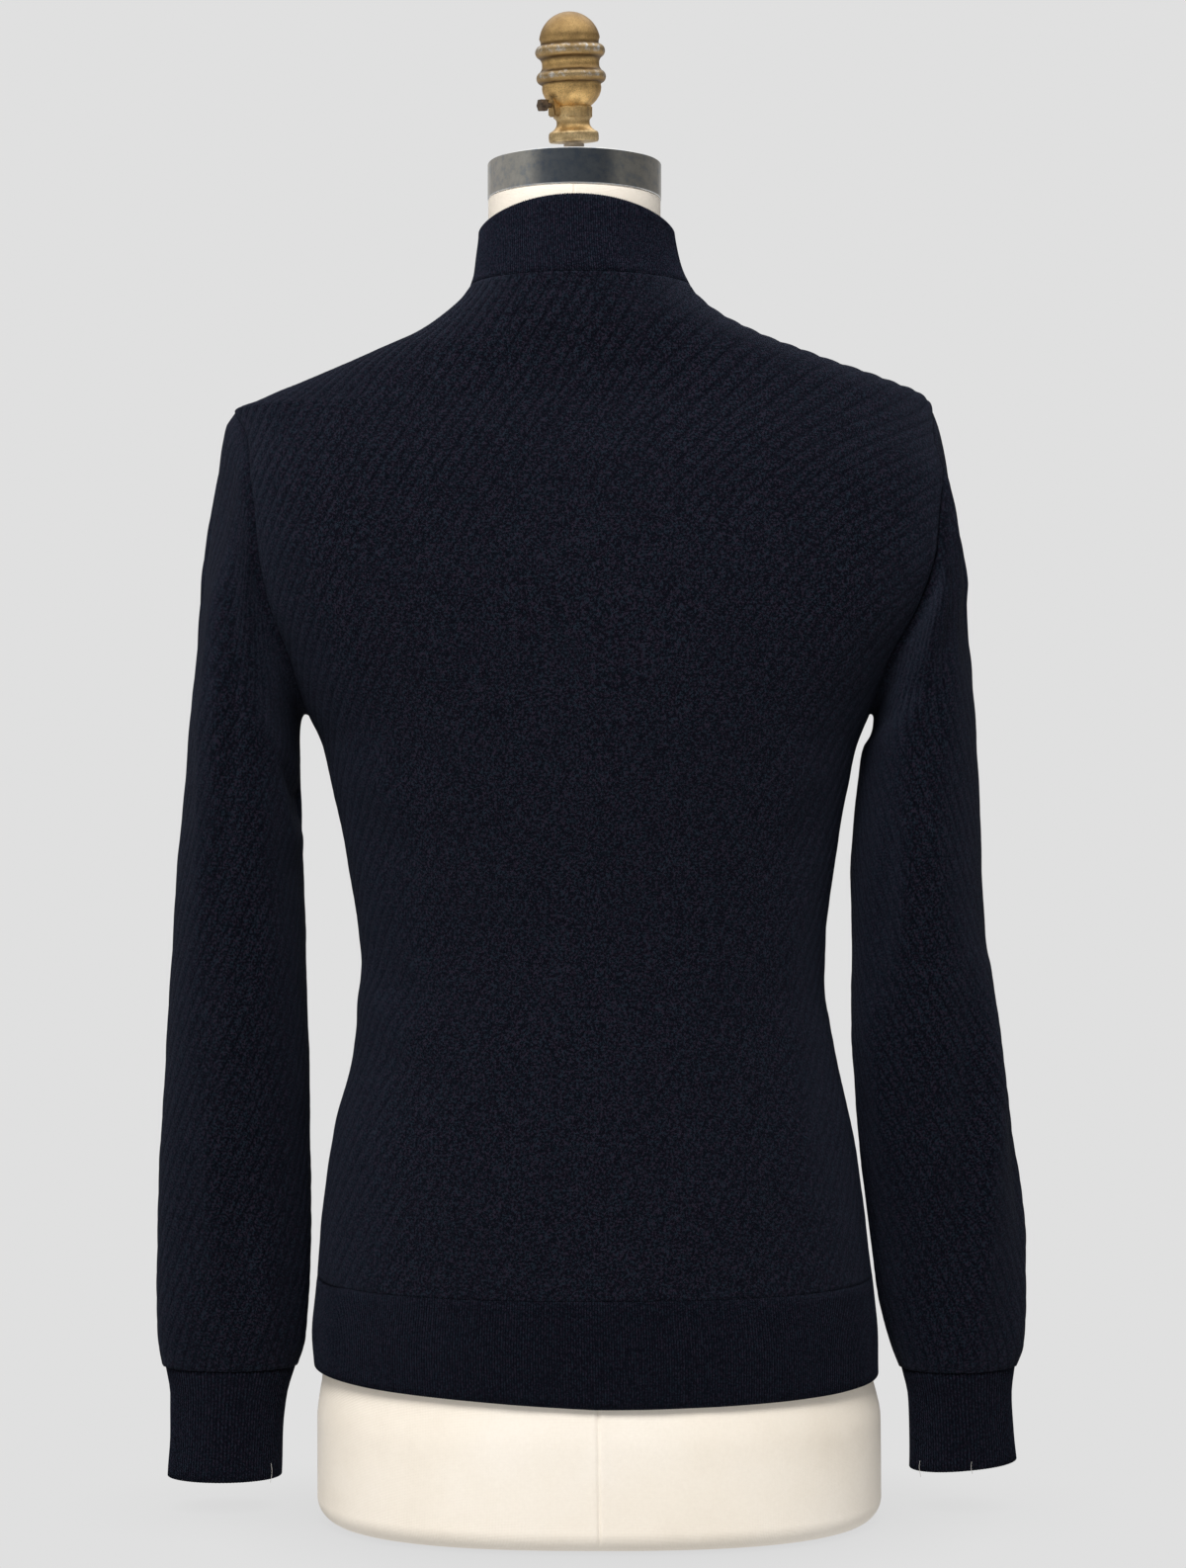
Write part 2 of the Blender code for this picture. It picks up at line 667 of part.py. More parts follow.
def inside_points(front, loop):
    """Points of the plain inside, along rows from edge to edge."""
    loop = np.array(loop)
    after = np.roll(loop, -1, axis=0)
    found = []
    for z in INSIDE_ROWS:
        z *= MM
        crossed = (loop[:, 1] > z) != (after[:, 1] > z)
        low, high = loop[crossed], after[crossed]
        ends = sorted(low[:, 0] + (z - low[:, 1]) / (high - low)[:, 1] * (high - low)[:, 0])
        for begin, end in zip(ends[::2], ends[1::2]):
            along = np.linspace(begin, end, max(3, round((end - begin) / (4 * MM))))
            curve = body(turn_at(along, np.full(len(along), z), front), np.full(len(along), z))
            kept = [along[i] for i in few(curve, INSIDE_SAG, INSIDE_LONGEST)]
            if len(kept) > 2:
                kept[-2] = (kept[-3] + kept[-1]) / 2
            found.extend((at, z) for at in kept[1:-1])
    return clear_of(found, loop, after - loop)


def clear_of(points, loop, edge):
    """The points well clear of a loop."""
    kept = []
    for point in points:
        p = np.array(point)
        share = np.clip(((p - loop) * edge).sum(axis=1) / (edge ** 2).sum(axis=1), 0, 1)
        if np.linalg.norm(loop + share[:, None] * edge - p, axis=1).min() > INSIDE_CLEAR:
            kept.append(point)
    return kept


def fill_skin(shell, loop, tracks, front, slope, raised):
    """One face of a panel, through its edge points and the points on its rib lines."""
    flat = [Vector(p) * 1000 for p in loop]
    edges = [(i, (i + 1) % len(loop)) for i in range(len(loop))]
    for one, rows, other in tracks:
        first = len(flat)
        flat.extend(Vector(p) * 1000 for p in rows)
        if one is None:
            continue
        chain = [one] + list(range(first, len(flat))) + [other]
        edges.extend(zip(chain, chain[1:]))
    found = delaunay_2d_cdt(flat, edges, [list(range(len(loop)))], 1, 1e-5)
    points, triangles, origin = found[0], found[2], found[3]
    cut = np.array([(p.x, p.y) for p in points]) / 1000
    base = body(turn_at(cut[:, 0], cut[:, 1], front), cut[:, 1])
    rise = RIB_RISE * rib_wave(cut[:, 0], cut[:, 1], slope) if raised else np.full(len(cut), -WALL)
    made = shell.add(base + body_normal(base) * rise[:, None])
    shell.faces.extend(tuple(made[i] for i in face) for face in triangles)
    where = {source: made[i] for i, sources in enumerate(origin) for source in sources}
    return [where[i] for i in range(len(loop))]


def band(name, ends, low, high, wall, across, rows, rise=0.0):
    """A plain band around the body between two heights that may follow the turn."""
    outer, inner = [], []
    for share in np.linspace(0, 1, rows):
        begin, end = ends(share)
        turn = np.linspace(begin, end, across)
        z = low(turn) + (high(turn) - low(turn)) * share
        base = body(turn, z)
        normal = body_normal(base)
        outer.append(base + normal * rise)
        inner.append(base + normal * (rise - wall))
    return loft(name, outer, inner, "navy_knit", closed=False)


def zip_turn(side, z):
    """The turn of the panel's edge beside the zip."""
    return float(turn_at(np.array([side * ZIP_EDGE]), np.array([z]), True)[0])


def hem_low(turn):
    """The hem's lower edge, which rides up towards the sides."""
    to_left, to_right = np.maximum(np.cos(turn), 0), np.maximum(-np.cos(turn), 0)
    return HEM_LOW + HEM_RISE_LEFT * to_left ** 1.3 + HEM_RISE_RIGHT * to_right ** 2


def hem():
    """The rib band in three pieces, parted at the side seams and the zip."""
    high = HEM_SEAM - SEAM / 2
    gap = SEAM / 2 / float(LEFT(HEM_LOW))

    def level(turn):
        return high + 0 * turn

    def height(share):
        return HEM_LOW + (high - HEM_LOW) * share

    band("hem_back", lambda share: (gap, math.pi - gap), hem_low, level, WALL, 21, 3)
    band("hem_front_left", lambda share: (zip_turn(1, height(share)), -gap),
         hem_low, level, WALL, 11, 3)
    band("hem_front_right", lambda share: (zip_turn(-1, height(share)), gap - math.pi),
         hem_low, level, WALL, 11, 3)


def collar():
    """The mock neck, which stands on the neck seam and is open at the zip."""

    def low(turn):
        return neck_seam(turn) + NECK_SEAM_GAP / 2

    def high(turn):
        return COLLAR_TOP + COLLAR_TILT * np.sign(np.sin(turn)) * np.abs(np.sin(turn)) ** 1.5

    def ends(share):
        front = -math.pi / 2
        z = float(low(front) + (high(front) - low(front)) * share)
        return zip_turn(1, z), zip_turn(-1, z) + 2 * math.pi

    band("collar", ends, low, high, COLLAR_WALL, 25, 4, rise=0.2 * MM)


# Sleeves


def ring_points(ring, side, share):
    """Points of one ring: share 0 is its outermost point and 90 degrees its back."""
    middle = np.array([ring.out_x + ring.under_x, 0, ring.out_z + ring.under_z]) / 2 * MM
    long = np.array([ring.out_x - ring.under_x, 0, ring.out_z - ring.under_z]) / 2 * MM
    c, s = np.cos(share), np.sin(share)
    power = 2 / RING_SQUARE
    across = np.sign(c) * np.abs(c) ** power
    deep = np.sign(s) * np.abs(s) ** power
    points = middle + across[:, None] * long
    points[:, 1] += ring.half_depth * MM * deep - ring.fore * MM
    points[:, 0] *= side
    return points


def armhole_bulge(side, share):
    """How far the armhole seam stands off a plain ring between its top and its armpit."""
    top, low = armhole_point(side, np.array([0.0, math.pi])) / MM
    plain = Ring(abs(top[0]), top[2], abs(low[0]), low[2], ring_depth(), 0)
    return armhole_point(side, share) - ring_points(plain, side, share)


def ring_depth():
    return (ARMHOLE_BACK + ARMHOLE_FRONT) / 2 / MM


def tube_normals(grid):
    """Directions out of a tube given as rings of points."""
    grid = np.array(grid)
    around = np.roll(grid, -1, axis=1) - np.roll(grid, 1, axis=1)
    down = np.gradient(grid, axis=0)
    normal = np.cross(around, down)
    normal /= np.linalg.norm(normal, axis=-1, keepdims=True)
    middle = grid.mean(axis=1, keepdims=True)
    outward = ((grid - middle) * normal).sum(axis=-1).sum()
    return normal if outward > 0 else -normal


def fold_rise(folds, turn, z):
    """How far the folds lift or sink the cloth at a turn around the sleeve and a height."""
    total = np.zeros_like(z)
    for fold in folds:
        down = (fold.high - z / MM) / (fold.high - fold.low)
        centre = np.radians(fold.turn_high + (fold.turn_low - fold.turn_high) * down)
        off = np.angle(np.exp(1j * (turn - centre)))
        fade = np.clip(down * 4, 0, 1) * np.clip((1 - down) * 3, 0, 1)
        total += fold.rise * MM * fade * np.exp(-((off / math.radians(fold.width)) ** 2))
    return total


def sleeve(name, side, rings, folds):
    """A sleeve whose ribs wind round it, with the armhole seam as its first ring."""
    fine, coarse = 2 * SLEEVE_RIBS, SLEEVE_RIBS // 2
    heights = [(ring.out_z + ring.under_z) / 2 for ring in rings]
    middle_x = [(ring.out_x + ring.under_x) / 2 for ring in rings]
    girth = [
        math.pi * (ring.half_depth + math.dist((ring.out_x, ring.out_z),
                                               (ring.under_x, ring.under_z)) / 2)
        for ring in rings
    ]
    shear = [0.0]
    for i in range(len(rings)):
        x0, z0 = (middle_x[i - 1], heights[i - 1]) if i else ARMHOLE_MIDDLE
        drop = math.dist((x0, z0), (middle_x[i], heights[i]))
        shear.append(shear[-1] + drop / math.tan(SLEEVE_RIB_TURN) / girth[i] * 2 * math.pi)

    def grid(count, raised):
        rows = []
        for row, twist in enumerate(shear):
            share = 2 * math.pi * np.arange(count) / count + twist
            if row == 0:
                rows.append(armhole_point(side, share))
                continue
            ring = ring_points(rings[row - 1], side, share)
            if row <= len(ARMHOLE_PULL):
                ring += armhole_bulge(side, share) * ARMHOLE_PULL[row - 1]
            rows.append(ring)
        base = np.array(rows)
        normal = tube_normals(base)
        seam_normal = body_normal(base[0])
        tangent = np.roll(base[0], -1, axis=0) - np.roll(base[0], 1, axis=0)
        away = np.cross(seam_normal, tangent)
        away /= np.linalg.norm(away, axis=-1, keepdims=True)
        centre = base[0].mean(axis=0)
        if ((base[0] - centre) * away).sum() > 0:
            away = -away
        base[0] += away * (SEAM * 1.3 if raised else UNDER_SEAM)
        normal[0] = seam_normal
        for row, twist in enumerate(shear):
            if row == 0:
                continue
            share = 2 * math.pi * np.arange(count) / count + twist
            lift = fold_rise(folds, share, base[row][:, 2])
            base[row] += normal[row] * lift[:, None]
        if raised:
            ridge = RIB_RISE * (np.arange(count) % 2)
            base = base + normal * ridge[None, :, None]
        else:
            base = base - normal * WALL
        return base

    return loft(name, list(grid(fine, True)), list(grid(coarse, False)), "navy_knit", closed=True)


def cuff(name, side, rings):
    """A plain tube; its fine rib is too small for solid form."""
    share = 2 * math.pi * np.arange(20) / 20
    base = np.array([ring_points(ring, side, share) for ring in rings])
    normal = tube_normals(base)
    return loft(name, list(base), list(base - normal * WALL), "navy_knit", closed=True)


# Zip


def zip_heights(low, high):
    """Heights that follow the front's curve closely, the same for every strip of the zip."""
    z = np.arange(HEM_LOW, COLLAR_TOP, 4 * MM)
    kept = z[few(body(np.full(len(z), -math.pi / 2), z), ZIP_SAG)]
    return [low] + [at for at in kept if low + MM < at < high - MM] + [high]


def zip_strip(name, along, out, back_to, low, high, finish):
    """A strip up the front between two distances from its middle, on the body's own curve."""
    outer, inner = [], []
    for z in zip_heights(low, high):
        turn = turn_at(np.array(along), np.full(len(along), z), True)
        base = body(turn, np.full(len(along), z))
        normal = body_normal(base)
        outer.append(base + normal * out)
        inner.append(base + normal * back_to)
    return loft(name, outer, inner, finish, closed=False)


def block(size, at):
    """A box mesh of a size in millimetres at a place in millimetres."""
    work = bmesh.new()
    bmesh.ops.create_cube(work, size=1, matrix=Matrix.Translation(Vector(at) * MM)
                          @ Matrix.Diagonal((*[s * MM for s in size], 1)))
    mesh = bpy.data.meshes.new("block")
    work.to_mesh(mesh)
    work.free()
    return mesh


def rod_mesh(radius, length, at, axis, sides):
    """A closed cylinder mesh in millimetres along X, Y or Z."""
    turns = {"X": Matrix.Rotation(math.pi / 2, 4, "Y"),
             "Y": Matrix.Rotation(math.pi / 2, 4, "X"),
             "Z": Matrix.Identity(4)}
    work = bmesh.new()
    bmesh.ops.create_cone(work, cap_ends=True, segments=sides, radius1=radius * MM,
                          radius2=radius * MM, depth=length * MM,
                          matrix=Matrix.Translation(Vector(at) * MM) @ turns[axis])
    mesh = bpy.data.meshes.new("rod")
    work.to_mesh(mesh)
    work.free()
    return mesh


def combine(target, mesh, how):
    """Adds or cuts a shape, with the cutter kept out of the part."""
    cutter = bpy.data.objects.new(f"{target.name}_{how.lower()}", mesh)
    CUTTERS.objects.link(cutter)
    cutter.matrix_world = target.matrix_world
    cutter.hide_render = True
    cutter.display_type = "WIRE"
    boolean = target.modifiers.new(how, "BOOLEAN")
    boolean.operation = how
    boolean.object = cutter
    boolean.solver = "EXACT"


def front_point(z):
    """The middle of the front at a height, in millimetres."""
    return body(np.array([-math.pi / 2]), np.array([z * MM]))[0] / MM


def zip_parts():
    """Two tapes, the closed chain, the box at the hem, and the slider with its pull tab."""
    top = float(COLLAR_TOP - COLLAR_TILT) - 0.6 * MM
    for name, side in (("zip_tape_left", 1), ("zip_tape_right", -1)):
        along = [side * TAPE_INNER, side * TAPE_OUTER]
        zip_strip(name, along, -0.3 * MM, -1.4 * MM, HEM_LOW + MM, top, "zip_tape")
    chain = [-CHAIN_HALF, CHAIN_HALF]
    zip_strip("zip_chain", chain, 0.8 * MM, -1.5 * MM, HEM_LOW + 10 * MM,
              (SLIDER_Z + 0.5) * MM, "zip_metal")
    x, y, _ = front_point(90)
    box = place("zip_box", block(ZIP_BOX, (x, y + 0.2, ZIP_BOX_Z)), "zip_metal")
    soften(box, 0.4 * MM)
    x, y, z = front_point(SLIDER_Z)
    above, below = front_point(SLIDER_Z + 5), front_point(SLIDER_Z - 5)
    slant = Matrix.Rotation(math.atan2(below[1] - above[1], above[2] - below[2]), 4, "X")
    at = Matrix.Translation(Vector((x, y, z)) * MM) @ slant
    slider = place("zip_slider", block(SLIDER_FRONT, (0, -PLATE_OUT, 0)), "zip_metal")
    slider.matrix_world = at
    bpy.context.view_layer.update()
    combine(slider, block(SLIDER_BACK, (0, PLATE_IN, 0)), "UNION")
    combine(slider, block(SLIDER_WEDGE, (0, 0.2, WEDGE_UP)), "UNION")
    pin_y = -PLATE_OUT - SLIDER_FRONT[1] / 2 - PIN_OUT
    for side in (1, -1):
        lug = block((LUG_WIDE, PIN_OUT + 1.3, LUG_TALL), (side * LUG_APART, pin_y + 1.6, PIN_UP))
        combine(slider, lug, "UNION")
    combine(slider, rod_mesh(PIN_RADIUS, PIN_LENGTH, (0, pin_y, PIN_UP), "X", 12), "UNION")
    pin = at @ (Vector((0, pin_y, PIN_UP)) * MM)
    pull_tab(*(pin / MM))


def pull_tab(x, y, z):
    """A flat tab with an eye round the slider's pin, which is its hinge."""
    outline = bpy.data.curves.new("zip_pull", "CURVE")
    outline.dimensions = "2D"
    outline.fill_mode = "BOTH"
    outline.extrude = TAB_THICK / 2 * MM
    neck, blade = TAB_NECK / 2, TAB_BLADE / 2
    half = [(neck, 1.4), (neck, -4), (blade, -8), (blade, TAB_CORNER - TAB_LENGTH),
            (blade - TAB_CORNER, -TAB_LENGTH)]
    corners = half + [(-across, up) for across, up in reversed(half)]
    line = outline.splines.new("POLY")
    line.points.add(len(corners) - 1)
    for point, (across, up) in zip(line.points, corners):
        point.co = (across * MM, up * MM, 0, 1)
    line.use_cyclic_u = True
    flat = bpy.data.objects.new("zip_pull_outline", outline)
    PART.objects.link(flat)
    bpy.context.view_layer.update()
    mesh = evaluated_mesh(flat)
    bpy.data.objects.remove(flat, do_unlink=True)
    work = bmesh.new()
    work.from_mesh(mesh)
    bmesh.ops.remove_doubles(work, verts=work.verts, dist=0.00001)
    bmesh.ops.rotate(work, verts=work.verts, matrix=Matrix.Rotation(math.pi / 2, 3, "X"))
    work.to_mesh(mesh)
    work.free()
    tab = place("zip_pull", mesh, "zip_metal")
    tab.matrix_world = Matrix.Translation(Vector((x, y, z)) * MM)
    bpy.context.view_layer.update()
    combine(tab, block(EYE_BOSS, (0, 0, 0)), "UNION")
    combine(tab, rod_mesh(EYE_RADIUS, 8.0, (0, 0, 0), "X", 14), "DIFFERENCE")


def evaluated_mesh(target):
    """A mesh of an object as its modifiers leave it."""
    return bpy.data.meshes.new_from_object(
        target.evaluated_get(bpy.context.evaluated_depsgraph_get()))


def soften(target, width):
    """Rounds an object's edges."""
    bevel = target.modifiers.new("round", "BEVEL")
    bevel.width = width
    bevel.segments = 1
    bevel.limit_method = "ANGLE"


# Dress form


def torso():
    """The form's body and neck: the sweater's shape, drawn in by the room under the cloth."""
    count = FORM_SIDES
    turn = 2 * math.pi * np.arange(count) / count
    rows = []
    for share in FORM_FILLET_SHARES:
        inset = FORM_FILLET * (1 - math.sqrt(1 - (1 - share) ** 2))
        z = FORM_FILLET * share
        base = body(turn, np.full(count, z))
        rows.append(base - body_normal(base) * inset)
        rows[-1][:, 2] = z
    for row in FORM_ROWS:
        z = row * MM
        base = body(turn, np.full(count, z))
        normal = body_normal(base)
        side = np.abs(normal[:, 0]) ** 2
        loose = FLANK_INSET * np.clip((z - HEM_LOW) / (60 * MM), 0, 1)
        loose *= np.clip((SHOULDER_TIP - 20 * MM - z) / (60 * MM), 0, 1)
        inset = INSET(z) + (ARM_INSET(z) + loose) * side
        rows.append(base - normal * inset[:, None])
    for z in FORM_NECK_ROWS:
        x = float(MIDDLE(min(z, 800) * MM)) + NECK_SIDE
        ring = np.stack([x + NECK_RADIUS * np.cos(turn), NECK_RADIUS * np.sin(turn),
                         np.full(count, z * MM)], axis=-1)
        rows.append(ring)
    shell = Shell()
    rings = [shell.add(row) for row in rows]
    for low, high in zip(rings, rings[1:]):
        for a in range(count):
            b = (a + 1) % count
            shell.faces.append((low[a], low[b], high[b]))
            shell.faces.append((low[a], high[b], high[a]))
    shell.faces.append(tuple(reversed(rings[0])))
    shell.faces.append(tuple(rings[-1]))
    shell.build("form_torso", "form_linen")


def turned(name, profile, finish, steps, at, lean=None):
    """A turned solid from a profile of radius and height in millimetres, top to bottom."""
    mesh = bpy.data.meshes.new(name)
    points = [(r * MM, 0, z * MM) for r, z in profile]
    mesh.from_pydata(points, [(i, i + 1) for i in range(len(points) - 1)], [])
    made = place(name, mesh, finish)
    made.matrix_world = Matrix.Translation(at) @ (lean or Matrix.Identity(4))
    screw = made.modifiers.new("turn", "SCREW")
    screw.steps = steps
    screw.render_steps = steps
    screw.use_merge_vertices = True
    screw.merge_threshold = 0.00001
    bpy.context.view_layer.update()
    made.data = evaluated_mesh(made)
    made.modifiers.remove(screw)
    made.data.name = name
    made.data.shade_smooth()
    made.data.set_sharp_from_angle(angle=math.radians(SHARP))
    return made


def arc(centre, radius, begin, end, steps):
    """Points on an arc of a profile, in degrees."""
    points = []
    for angle in np.radians(np.linspace(begin, end, steps)):
        points.append((centre[0] + radius * math.cos(angle), centre[1] + radius * math.sin(angle)))
    return points


def neck_hardware():
    """The chrome cap, the steel rod, and the brass finial with its clamp screw."""
    x = float(MIDDLE(800 * MM)) + NECK_SIDE
    high, low = CAP_HIGH / MM, CAP_LOW / MM
    radius, edge = CAP_RADIUS / MM, CAP_ROUND / MM
    cap = [(0, high + 1.2), (30, high + 0.8)]
    cap += arc((radius - edge, high - edge), edge, 85, 0, 3)
    cap += [(radius, low), (0, low)]
    turned("neck_cap", cap, "chrome", 32, Vector((x, 0, 0)))
    rod_low = high + 1.5
    rod = [(0, FINIAL_LOW / MM + 0.6), (ROD_RADIUS / MM, FINIAL_LOW / MM + 0.6),
           (ROD_RADIUS / MM, rod_low), (0, rod_low)]
    turned("neck_rod", rod, "steel", 16, Vector((x + ROD_SIDE, 0, 0)))
    profile = arc(DOME[:2], DOME[2], 90, 8, 5)
    profile += arc(UPPER_RING[:2], UPPER_RING[2], 62, -62, 3) + FINIAL_WAIST
    profile += arc(LOWER_RING[:2], LOWER_RING[2], 62, -62, 3) + FINIAL_BOWL + FINIAL_FOOT
    lean = (Matrix.Rotation(FINIAL_LEAN_SIDE, 4, "Y") @ Matrix.Rotation(-FINIAL_LEAN_BACK, 4, "X"))
    at = Vector((x + ROD_SIDE, 0, FINIAL_LOW + 0.8 * MM))
    finial = turned("finial", profile, "aged_brass", 16, at, lean)
    bpy.context.view_layer.update()
    aside = Matrix.Rotation(SCREW_TURN, 4, "Z")
    boss = block(FINIAL_BLOCK, FINIAL_BLOCK_AT)
    boss.transform(aside)
    combine(finial, boss, "UNION")
    shank = rod_mesh(SHANK_RADIUS, SHANK_LENGTH, (0, 0, 0), "X", 14)
    screw = place("clamp_screw", shank, "dark_steel")
    at_screw = aside @ Matrix.Translation(Vector(SCREW_AT) * MM)
    screw.matrix_world = Matrix.Translation(at) @ lean @ at_screw
    bpy.context.view_layer.update()
    combine(screw, rod_mesh(HEAD_RADIUS, HEAD_LENGTH, (HEAD_OUT, 0, 0), "X", 6), "UNION")


def build():
    torso()
    neck_hardware()
    body_panel("back_panel", front=False)
    body_panel("front_panel_left", front=True, side=1)
    body_panel("front_panel_right", front=True, side=-1)
    hem()
    collar()
    sleeve("sleeve_left", 1, SLEEVE_LEFT, FOLDS_LEFT)
    sleeve("sleeve_right", -1, SLEEVE_RIGHT, FOLDS_RIGHT)
    cuff("cuff_left", 1, CUFF_LEFT)
    cuff("cuff_right", -1, CUFF_RIGHT)
    zip_parts()


build()
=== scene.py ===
"""Looks of a full-zip diagonal-rib sweater worn by a limbless dress form.

Metres, +Z up, the zip towards -Y and the wearer's left towards +X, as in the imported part.
Tables are in millimetres. Every cloth piece is a thin shell on the part's own curves.
"""

import math
from collections import namedtuple

import bmesh
import bpy
import numpy as np
from mathutils import Matrix, Vector


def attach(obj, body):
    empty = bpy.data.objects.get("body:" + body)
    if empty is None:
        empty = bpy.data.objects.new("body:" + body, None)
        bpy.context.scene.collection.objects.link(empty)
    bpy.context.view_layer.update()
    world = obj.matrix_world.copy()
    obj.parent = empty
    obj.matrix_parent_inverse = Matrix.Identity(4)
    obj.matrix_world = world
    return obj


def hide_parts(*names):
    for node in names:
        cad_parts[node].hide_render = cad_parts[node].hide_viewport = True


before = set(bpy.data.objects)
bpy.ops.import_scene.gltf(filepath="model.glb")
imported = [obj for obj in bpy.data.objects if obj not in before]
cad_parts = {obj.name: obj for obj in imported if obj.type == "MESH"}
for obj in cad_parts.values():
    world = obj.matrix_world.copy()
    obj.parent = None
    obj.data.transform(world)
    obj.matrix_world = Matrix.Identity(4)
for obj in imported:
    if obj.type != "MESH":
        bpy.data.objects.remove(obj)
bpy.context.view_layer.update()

MM = 0.001

# Cloth
WALL = 2.2 * MM
LIP = 0.12 * MM
EDGE = LIP - 0.1 * MM
SEAM = 0.3 * MM
SEAM_EDGE = SEAM / 2 + EDGE
CELL = 2.1 * MM
FRONT_CELL = CELL * 1.12
SLEEVE_CELL = 2.35 * MM
INNER_STEP = 4
BAND_INNER_STEP = 8

# Ribs
BODY_RIB = 8.2 * MM
BODY_RIB_ANGLE = math.radians(57)
SLEEVE_RIB = 6.9 * MM
SLEEVE_RIB_ANGLE = math.radians(64)
FINE_RIB_HEM = 1.6 * MM
FINE_RIB_COLLAR = 1.45 * MM
FINE_RIB_CUFF = 1.7 * MM
RIB_DEPTH = 0.14 * MM
RIB_DEEPER_ASIDE = 0.50 * MM
RIB_DEEPER_ABOVE = 0.46 * MM
SLEEVE_RIB_DEPTH = 0.55 * MM
UNEVEN_BODY = 0.35 * MM
UNEVEN_SLEEVE = 0.45 * MM
UNEVEN_BAND = 0.3 * MM
STITCH_HIGH = 0.0009
POINTS_A_RIB = 4
BAND_ROWS = 12
SLEEVE_COLUMNS = 232

# Landmarks
HEM_LOW = 86.5 * MM
HEM_SEAM = 150 * MM
HEM_RISE_LEFT = 8.5 * MM
HEM_RISE_RIGHT = 3 * MM
ARMPIT = 497 * MM
SHOULDER_TIP = 687 * MM
NECK_SEAM = 766 * MM
NECK_DROP = 30 * MM
ARMHOLE_BACK = 62 * MM
ARMHOLE_FRONT = 58 * MM
COLLAR_TOP = 799 * MM
COLLAR_TILT = 14 * MM

# Zip
ZIP_EDGE = 7 * MM
TAPE_INNER = 2.7 * MM
TAPE_OUTER = 6.6 * MM
TOOTH_PITCH = 2.5 * MM
SLIDER_Z = 771.0

# Dress form
FORM_FILLET = 13 * MM
FLANK_INSET = 5 * MM
COVER_RADIUS = 0.14
NECK_RADIUS = 54.0 * MM
CAP_RADIUS = 54.4 * MM
CAP_LOW = 820.4 * MM
CAP_HIGH = 842.6 * MM
CAP_ROUND = 0.6 * MM
ROD_RADIUS = 6.4 * MM
FINIAL_LOW = 855.3 * MM
FINIAL_LEAN_BACK = math.radians(8)
FINIAL_LEAN_SIDE = math.radians(2.5)
ROD_SIDE = 0.3 * MM
NECK_SIDE = 1.5 * MM
SCREW_TURN = math.radians(30)

# The photo's camera, behind the form
CAMERA_SIDE = 0.0043
CAMERA_BACK = 1.86
CAMERA_HIGH = 0.4545
CAMERA_LENS = 68.1

# Light
WORLD_FILL = 0.27
FLOOR_FILL = 0.74
FLOOR_MIRRORED = 0.50
TOP_MIRRORED = 1.35
PAPER = 0.745
PAPER_SHADE = 0.66
LAMP_TINT = (1.0, 0.985, 0.965)
LAMP_AIM = (0, 0, 0.45)
LAMPS = [
    ("key", (0.44, 2.1, 2.6), (1.4, 1.2), 112),
    ("side", (2.1, 1.5, 0.9), (0.7, 1.8), 2.5),
    ("front", (0.4, -3.0, 1.6), (2.0, 2.0), 45),
]
# What polished metal mirrors, from straight behind the form to straight in front of it
MIRRORED = [
    (0.0, (0.42, 0.41, 0.39)), (0.10, (0.22, 0.21, 0.195)), (0.42, (0.19, 0.183, 0.168)),
    (0.72, (0.19, 0.186, 0.172)), (0.87, (0.064, 0.070, 0.078)), (1.0, (0.052, 0.060, 0.070)),
]

